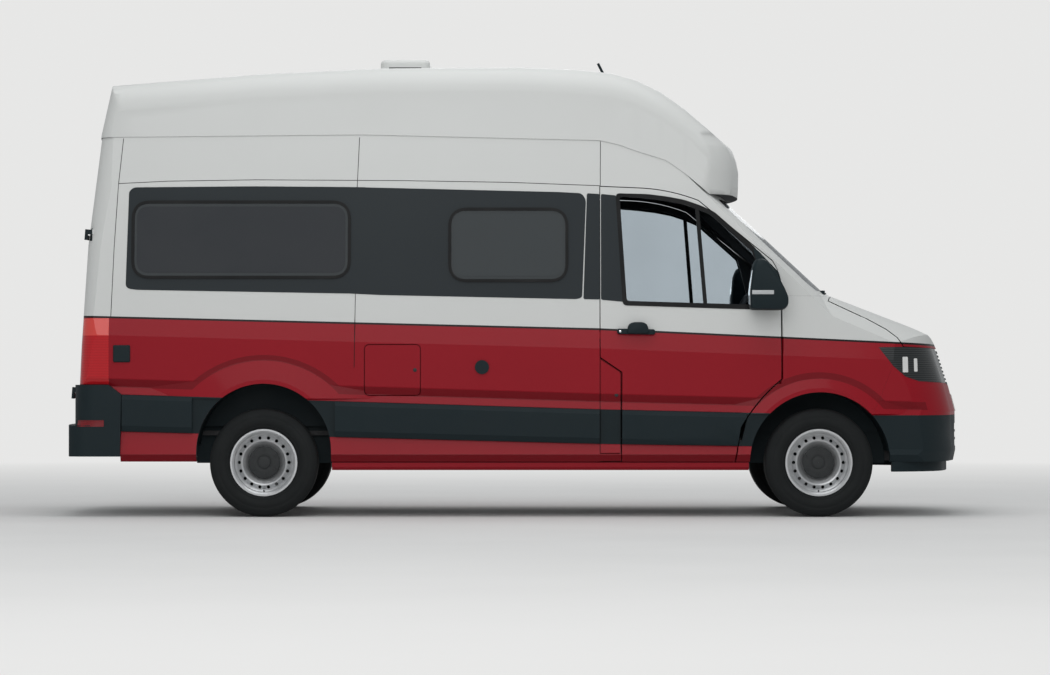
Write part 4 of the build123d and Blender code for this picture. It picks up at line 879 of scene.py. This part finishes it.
for side, name in SIDES:
    body = f"door_{name}"
    rings = []
    for out, shrink, reach in HOUSING_RINGS:
        ring = []
        for point in rounded(HOUSING, 0.028, 3):
            x, z = HOUSING_MIDDLE + (point - HOUSING_MIDDLE) * shrink
            ring.append((HOUSING_BACK + (x - HOUSING_BACK) * reach, side * out, z))
        rings.append(ring)
    housing = ring_solid(f"mirror_housing_{name}", rings, black_trim, body)
    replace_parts(housing, f"mirror_{name}")
    brick(f"mirror_foot_{name}", *sided(side, (1.600, 0.952, 1.372), (1.722, 1.040, 1.444)),
          black_trim, body, "black_trim", 0.012)
    ring_solid(f"mirror_glass_{name}", [[(x, side * y, z) for x, z in PANE] for y in PANE_ENDS],
               mirror_silver, body)
    brick(f"mirror_lens_{name}", *sided(side, (1.548, 1.180, 1.455), (1.690, 1.2115, 1.482)),
          lens_clear, body, "lamp_lens", 0.003)

# ---- Pieces fixed on curved skins ----
# Light guides, reflectors, blank number plates, rear window frames, the rear door handle and the high stop
# lamp follow the panels that carry them: their outlines are drawn square on and laid on the panel.
STEP, FAR_X, FAR_Y, LAID = 0.03, 4, 2, 30
LIGHT_GUIDES = ((2.548, 2.585, 0.948, 1.050), (2.627, 2.651, 0.953, 1.040))
BACK_PANE = (0.118, 0.655, 1.540, 2.080)


def skin_of(*names):
    verts, faces = [], []
    for name in names:
        start = len(verts)
        verts += [vert.co.copy() for vert in nodes[name].data.vertices]
        faces += [[start + i for i in face.vertices] for face in nodes[name].data.polygons]
    return BVHTree.FromPolygons(verts, faces)


def laid_on(name, skin, facing, outline, material, body, proud=0.002, thick=0.004, hole=None):
    """A sheet on a skin. facing is the axis and sign it looks along."""
    axis, sign = facing
    work = flat_sheet(outline, hole)
    for k, normal in ((0, (1, 0, 0)), (2, (0, 0, 1))):
        low, high = min(vert.co[k] for vert in work.verts), max(vert.co[k] for vert in work.verts)
        for i in range(1, int((high - low) / STEP) + 1):
            place = [0, 0, 0]
            place[k] = low + i * STEP
            cut(work, place, normal)
    lost = []
    for vert in work.verts:
        u, v = vert.co.x, vert.co.z
        start = Vector((sign * FAR_X, u, v)) if axis == 0 else Vector((u, sign * FAR_Y, v))
        look = Vector((-sign, 0, 0)) if axis == 0 else Vector((0, -sign, 0))
        hit = skin.ray_cast(start, look)[0]
        if hit is None:
            lost.append(vert)
        else:
            vert.co = hit - look * proud
    bmesh.ops.delete(work, geom=lost, context="VERTS")
    thicken(work, axis, sign * thick)
    return smooth(add_piece(name, mesh_of(work, name), material, body), LAID)


def plain_box(low_u, high_u, low_v, high_v, radius=0.004):
    return rounded([(low_u, low_v), (high_u, low_v), (high_u, high_v), (low_u, high_v)], radius, 4)


light_guide, tree, shader = principled("light_guide", Roughness=0.3)
tint(tree, shader, noise(tree, 60, 2), (0.62, 0.62, 0.61), (0.70, 0.70, 0.69))
reflector_red, tree, shader = principled("reflector_red", Roughness=0.25, Specular_IOR_Level=0.3)
tint(tree, shader, noise(tree, 500, 1), (0.12, 0.006, 0.010), (0.20, 0.010, 0.014))
plate_white = plastic("plate_white", (0.55, 0.55, 0.53), grain=0.02, rough=0.5)
lamp_skin, corner_skin = skin_of("headlamps"), skin_of("rear_bumper")
for side, name in SIDES:
    for k, box in enumerate(LIGHT_GUIDES):
        laid_on(f"light_guide_{k}_{name}", lamp_skin, (1, side), plain_box(*box, 0.006), light_guide, "body",
                proud=0.0015)
    laid_on(f"reflector_{name}", corner_skin, (1, side), plain_box(-2.860, -2.684, 0.592, 0.634),
            reflector_red, "body")
laid_on("front_plate", skin_of("front_bumper", "bumper_valance"), (0, 1),
        plain_box(-0.26, 0.26, 0.690, 0.802, 0.008), plate_white, "body", proud=0.006,
        thick=0.008)
for side, name in SIDES:
    body = f"back_door_{name}"
    outside = [(side * u, v) for u, v in grown(BACK_PANE, 0.016, 0.016, 0.08)]
    inside = [(side * u, v) for u, v in grown(BACK_PANE, -0.012, -0.012, 0.06)]
    skin = skin_of(f"rear_door_{name}", f"rear_glass_{name}")
    laid_on(f"rear_window_frame_{name}", skin, (0, -1), outside, frame_rubber, body,
            proud=0.0035, hole=inside)
    if name == "right":
        laid_on("rear_plate", skin, (0, -1), plain_box(-0.60, -0.08, 0.790, 0.902, 0.008), plate_white, body,
                proud=0.006, thick=0.008)
        laid_on("rear_handle", skin, (0, -1), plain_box(-0.20, -0.04, 1.060, 1.108, 0.018), black_trim, body,
                proud=0.012, thick=0.016)
laid_on("high_stop_lamp", skin_of("rear_header"), (0, -1), plain_box(-0.16, 0.16, 2.425, 2.452, 0.010),
        reflector_red, "body", proud=0.005, thick=0.008)

# ---- Wheel arch backs and air intake ----
# Black splash panels close each wheel house on its inner side, with room for the axle and the steered
# wheels, and a dark cooler stands on the rails behind the bumper's intake slots.
brick("cooler", (2.715, -0.50, 0.5305), (2.745, 0.50, 0.83), black_trim, "body", "black_trim")
for side, name in SIDES:
    for label, low_x, high_x, y in (
        ("front_a", 1.52, 1.915, 0.548), ("front_b", 2.085, 2.47, 0.548), ("rear_a", -2.11, -1.745, 0.602),
        ("rear_b", -1.535, -1.16, 0.602),
    ):
        brick(f"splash_{label}_{name}", *sided(side, (low_x, y - 0.005, 0.345), (high_x, y, 0.62)),
              black_trim, "body", "black_trim", 0)

# ---- Seats ----
# Two cab seats on steel boxes: foam cushions, backs and headrests in grey cloth with sewn channels. Each pad
# is blown up as cloth under pressure.
weave, tree, shader = principled("seat_cloth", Roughness=0.95, Specular_IOR_Level=0.1, Sheen_Weight=0.3)
tint(tree, shader, noise(tree, 24, 4), (0.045, 0.047, 0.052), (0.085, 0.088, 0.095))
add_bump(tree, shader, waves(tree, 190), 0.25, 0.0008)
SEAT_X, SEAT_Y, ALL_ROUND = 0.898, 0.430, 180
#   how far a pad's sides pull in, along it and through it
PULL_IN, SIDE_BEND = 0.05, 0.04
#   a seam's half width and depth, where the two long seams run, and how far out the cross seams reach
SEAM_HALF, SEAM_DEPTH, LONG_SEAMS, SEAM_END = 0.009, 0.007, (-0.56, 0.56), 0.58
#   cloth: spacing of its points, its pressure, frames it runs, how far a point may move, room left for that
VOXEL, PRESSURE, FRAMES, SWELL, ROOM = 0.010, 4, 20, 0.012, 0.8


def puff(pad):
    """Blow the cover up over its foam as cloth under pressure, each point held near where it began."""
    skin = pad.modifiers.new("skin", "REMESH")
    skin.mode, skin.voxel_size = "VOXEL", VOXEL
    mesh = bpy.data.meshes.new_from_object(pad.evaluated_get(bpy.context.evaluated_depsgraph_get()))
    pad.modifiers.clear()
    pad.data = mesh
    start = [vert.co.copy() for vert in mesh.vertices]
    cloth = pad.modifiers.new("cloth", "CLOTH")
    cloth.settings.use_pressure = True
    cloth.settings.uniform_pressure_force = PRESSURE
    cloth.settings.effector_weights.gravity = 0
    for step in range(1, FRAMES + 1):
        scene.frame_set(step)
    blown = pad.evaluated_get(bpy.context.evaluated_depsgraph_get()).data
    moved = [vert.co.copy() for vert in blown.vertices]
    pad.modifiers.clear()
    scene.frame_set(1)
    for vert, before, after in zip(mesh.vertices, start, moved):
        shift = after - before
        vert.co = before + shift * min(1.0, SWELL / max(shift.length, 1e-9))


def cushion(name, low, high, thick_axis, lean=0.0, taper=1.0, channels=(), rests=False):
    """A crowned foam pad whose sides pull in between its corners, sewn across its width at the channels and
    lengthwise near both sides. lean is how far its top stands to the rear, taper its thickness there, and a
    pad that rests on its box has a flat foot."""
    along, through = (0, 2) if thick_axis == 2 else (2, 0)
    middle = (Vector(low) + Vector(high)) / 2
    half = (Vector(high) - Vector(low)) / 2 - Vector((1, 1, 1)) * ((SWELL * ROOM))
    work = bmesh.new()
    bmesh.ops.create_cube(work, size=2)
    bmesh.ops.subdivide_edges(work, edges=work.edges[:], cuts=15, use_grid_fill=True)
    for vert in work.verts:
        a, b, c = vert.co[along], vert.co[1], vert.co[through]
        crown = (1 - a ** 4) * (1 - b ** 4)
        place = [0, 0, 0]
        place[along] = a * (1 - PULL_IN * (1 - b * b)) * (1 - SIDE_BEND * c * c)
        place[1] = b * (1 - PULL_IN * (1 - a * a)) * (1 - SIDE_BEND * c * c)
        place[through] = c * (0.92 + 0.08 * crown if rests and c < 0 else 0.62 + 0.38 * crown)
        place[through] *= 1 + (taper - 1) * (a + 1) / 2
        vert.co = middle + Vector([place[i] * half[i] for i in range(3)])
        vert.co.x -= lean * (a + 1) / 2
    pad = smooth(add_piece(name, mesh_of(work, name), weave, "body"), ALL_ROUND)
    puff(pad)
    for vert in pad.data.vertices:
        a = (vert.co[along] - middle[along]) / half[along]
        b = (vert.co[1] - middle[1]) / half[1]
        long_dents = [math.exp(-((b - c) * half[1] / SEAM_HALF) ** 2) for c in LONG_SEAMS]
        sewn = abs(b) < SEAM_END
        cross_dents = [math.exp(-((a - c) * half[along] / SEAM_HALF) ** 2) * sewn for c in channels]
        vert.co[through] -= SEAM_DEPTH * max(long_dents + cross_dents) * max(0.0, vert.normal[through])
        if rests:
            vert.co[through] = max(vert.co[through], low[through])
    pad.data.polygons.foreach_set("use_smooth", [True] * len(pad.data.polygons))
    if pad.data.materials[:] != [weave]:
        pad.data.materials.clear()
        pad.data.materials.append(weave)
    finer = pad.modifiers.new("finer", "SUBSURF")
    finer.levels = finer.render_levels = 1


for side, name in SIDES:
    low_y, high_y = side * SEAT_Y - 0.235, side * SEAT_Y + 0.235
    base = brick(f"seat_box_{name}", (SEAT_X - 0.17, low_y + 0.04, 0.50),
                 (SEAT_X + 0.21, high_y - 0.04, 0.826), chassis_coat, "body", "seat_fabric", 0.008)
    cushion(f"seat_cushion_{name}", (SEAT_X - 0.225, low_y, 0.8265), (SEAT_X + 0.270, high_y, 0.958), 2,
            channels=(-0.35, 0.1, 0.5), rests=True)
    cushion(f"seat_back_{name}", (SEAT_X - 0.238, low_y + 0.008, 0.890),
            (SEAT_X - 0.108, high_y - 0.008, 1.535), 0, lean=0.128, taper=0.76, channels=(-0.5, -0.1, 0.3))
    cushion(f"seat_head_{name}", (SEAT_X - 0.375, side * SEAT_Y - 0.14, 1.540),
            (SEAT_X - 0.275, side * SEAT_Y + 0.14, 1.720), 0)
    posts = bmesh.new()
    for off in (-0.07, 0.07):
        pin(posts, (SEAT_X - 0.318, side * SEAT_Y + off, 1.535), (0.007, 0.007), 0.12, -6, "Y", 16)
    label = f"seat_posts_{name}"
    smooth(add_piece(label, mesh_of(posts, label), bare_steel, "body"), ROD)
    if name == "right":
        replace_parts(base, "seats")

# ---- Door linings and small fittings ----
# Armrests, pockets and speakers inside the cab doors, handles with their locks outside, push locks on the
# flaps and a rubber seal round the roof hatch.
#   plates and grips of the door handles as (x, z) outlines, their middles, and rings of (distance out, size)
HANDLES = (
    ("plate", rounded([(0.676, 1.199), (0.926, 1.194), (0.926, 1.230), (0.676, 1.235)], 0.022, 6),
     Vector((0.801, 1.2145)), ((0.975, 1.0), (1.004, 1.0), (1.009, 0.93), (1.011, 0.8))),
    ("grip", rounded([(0.738, 1.200), (0.750, 1.262), (0.782, 1.277), (0.848, 1.277), (0.874, 1.262),
                      (0.890, 1.200)], 0.022, 5),
     Vector((0.813, 1.236)), ((0.975, 1.0), (1.012, 1.0), (1.026, 0.93), (1.031, 0.78))),
)
#   corners round the plain handle that the welded door trim leaves out
OLD_HANDLE, TRIM_SKIN = ((0.66, 1.20), (0.95, 1.29)), 25
for side, name in SIDES:
    body = f"door_{name}"
    brick(f"armrest_{name}", *sided(side, (0.80, 0.885, 0.985), (1.42, 0.935, 1.035)), dash_plastic, body,
          "dash_plastic", 0.014)
    brick(f"door_pocket_{name}", *sided(side, (0.80, 0.878, 0.575), (1.46, 0.926, 0.730)), dash_plastic, body,
          "dash_plastic", 0.016)
    lathe(f"speaker_{name}", [(0.0005, 0.0), (0.060, 0.0), (0.078, -0.004), (0.082, -0.012)],
          (1.38, side * 0.905, 0.84), side, black_gloss, body, 40)
    lathe(f"handle_lock_{name}", [(0.0005, 0.0025), (0.0075, 0.0022), (0.0085, 0.0), (0.0085, -0.006)],
          (0.697, side * 1.0105, 1.2165), side, mirror_silver, body, 24)
    welded_copy(f"door_trim_{name}", black_trim, body, TRIM_SKIN, drop=OLD_HANDLE)
    for label, loop, centre, rings in HANDLES:
        sized = [(y, [centre + (point - centre) * keep for point in loop]) for y, keep in rings]
        ring_solid(f"handle_{label}_{name}", [[(p.x, side * y, p.y) for p in ring] for y, ring in sized],
                   black_trim, body)
for label, body, x, z in (("cassette", "cassette_lid", -0.648, 0.963), ("fuel", "fuel_lid", 0.672, 0.800)):
    lathe(f"{label}_lock", [(0.0005, 0.003), (0.010, 0.003), (0.0125, 0.0015), (0.0125, -0.004)],
          (x, -wall_y(x, z), z), -1, black_gloss, body, 28)
hatch_loop = rounded([(-0.905, -0.251), (-0.569, -0.251), (-0.569, 0.251), (-0.905, 0.251)], 0.075, 8)
seal = [[(x, y, z) for x, y in hatch_loop] for z in (2.962, 3.010)]
ring_solid("hatch_seal", seal, frame_rubber, "body")
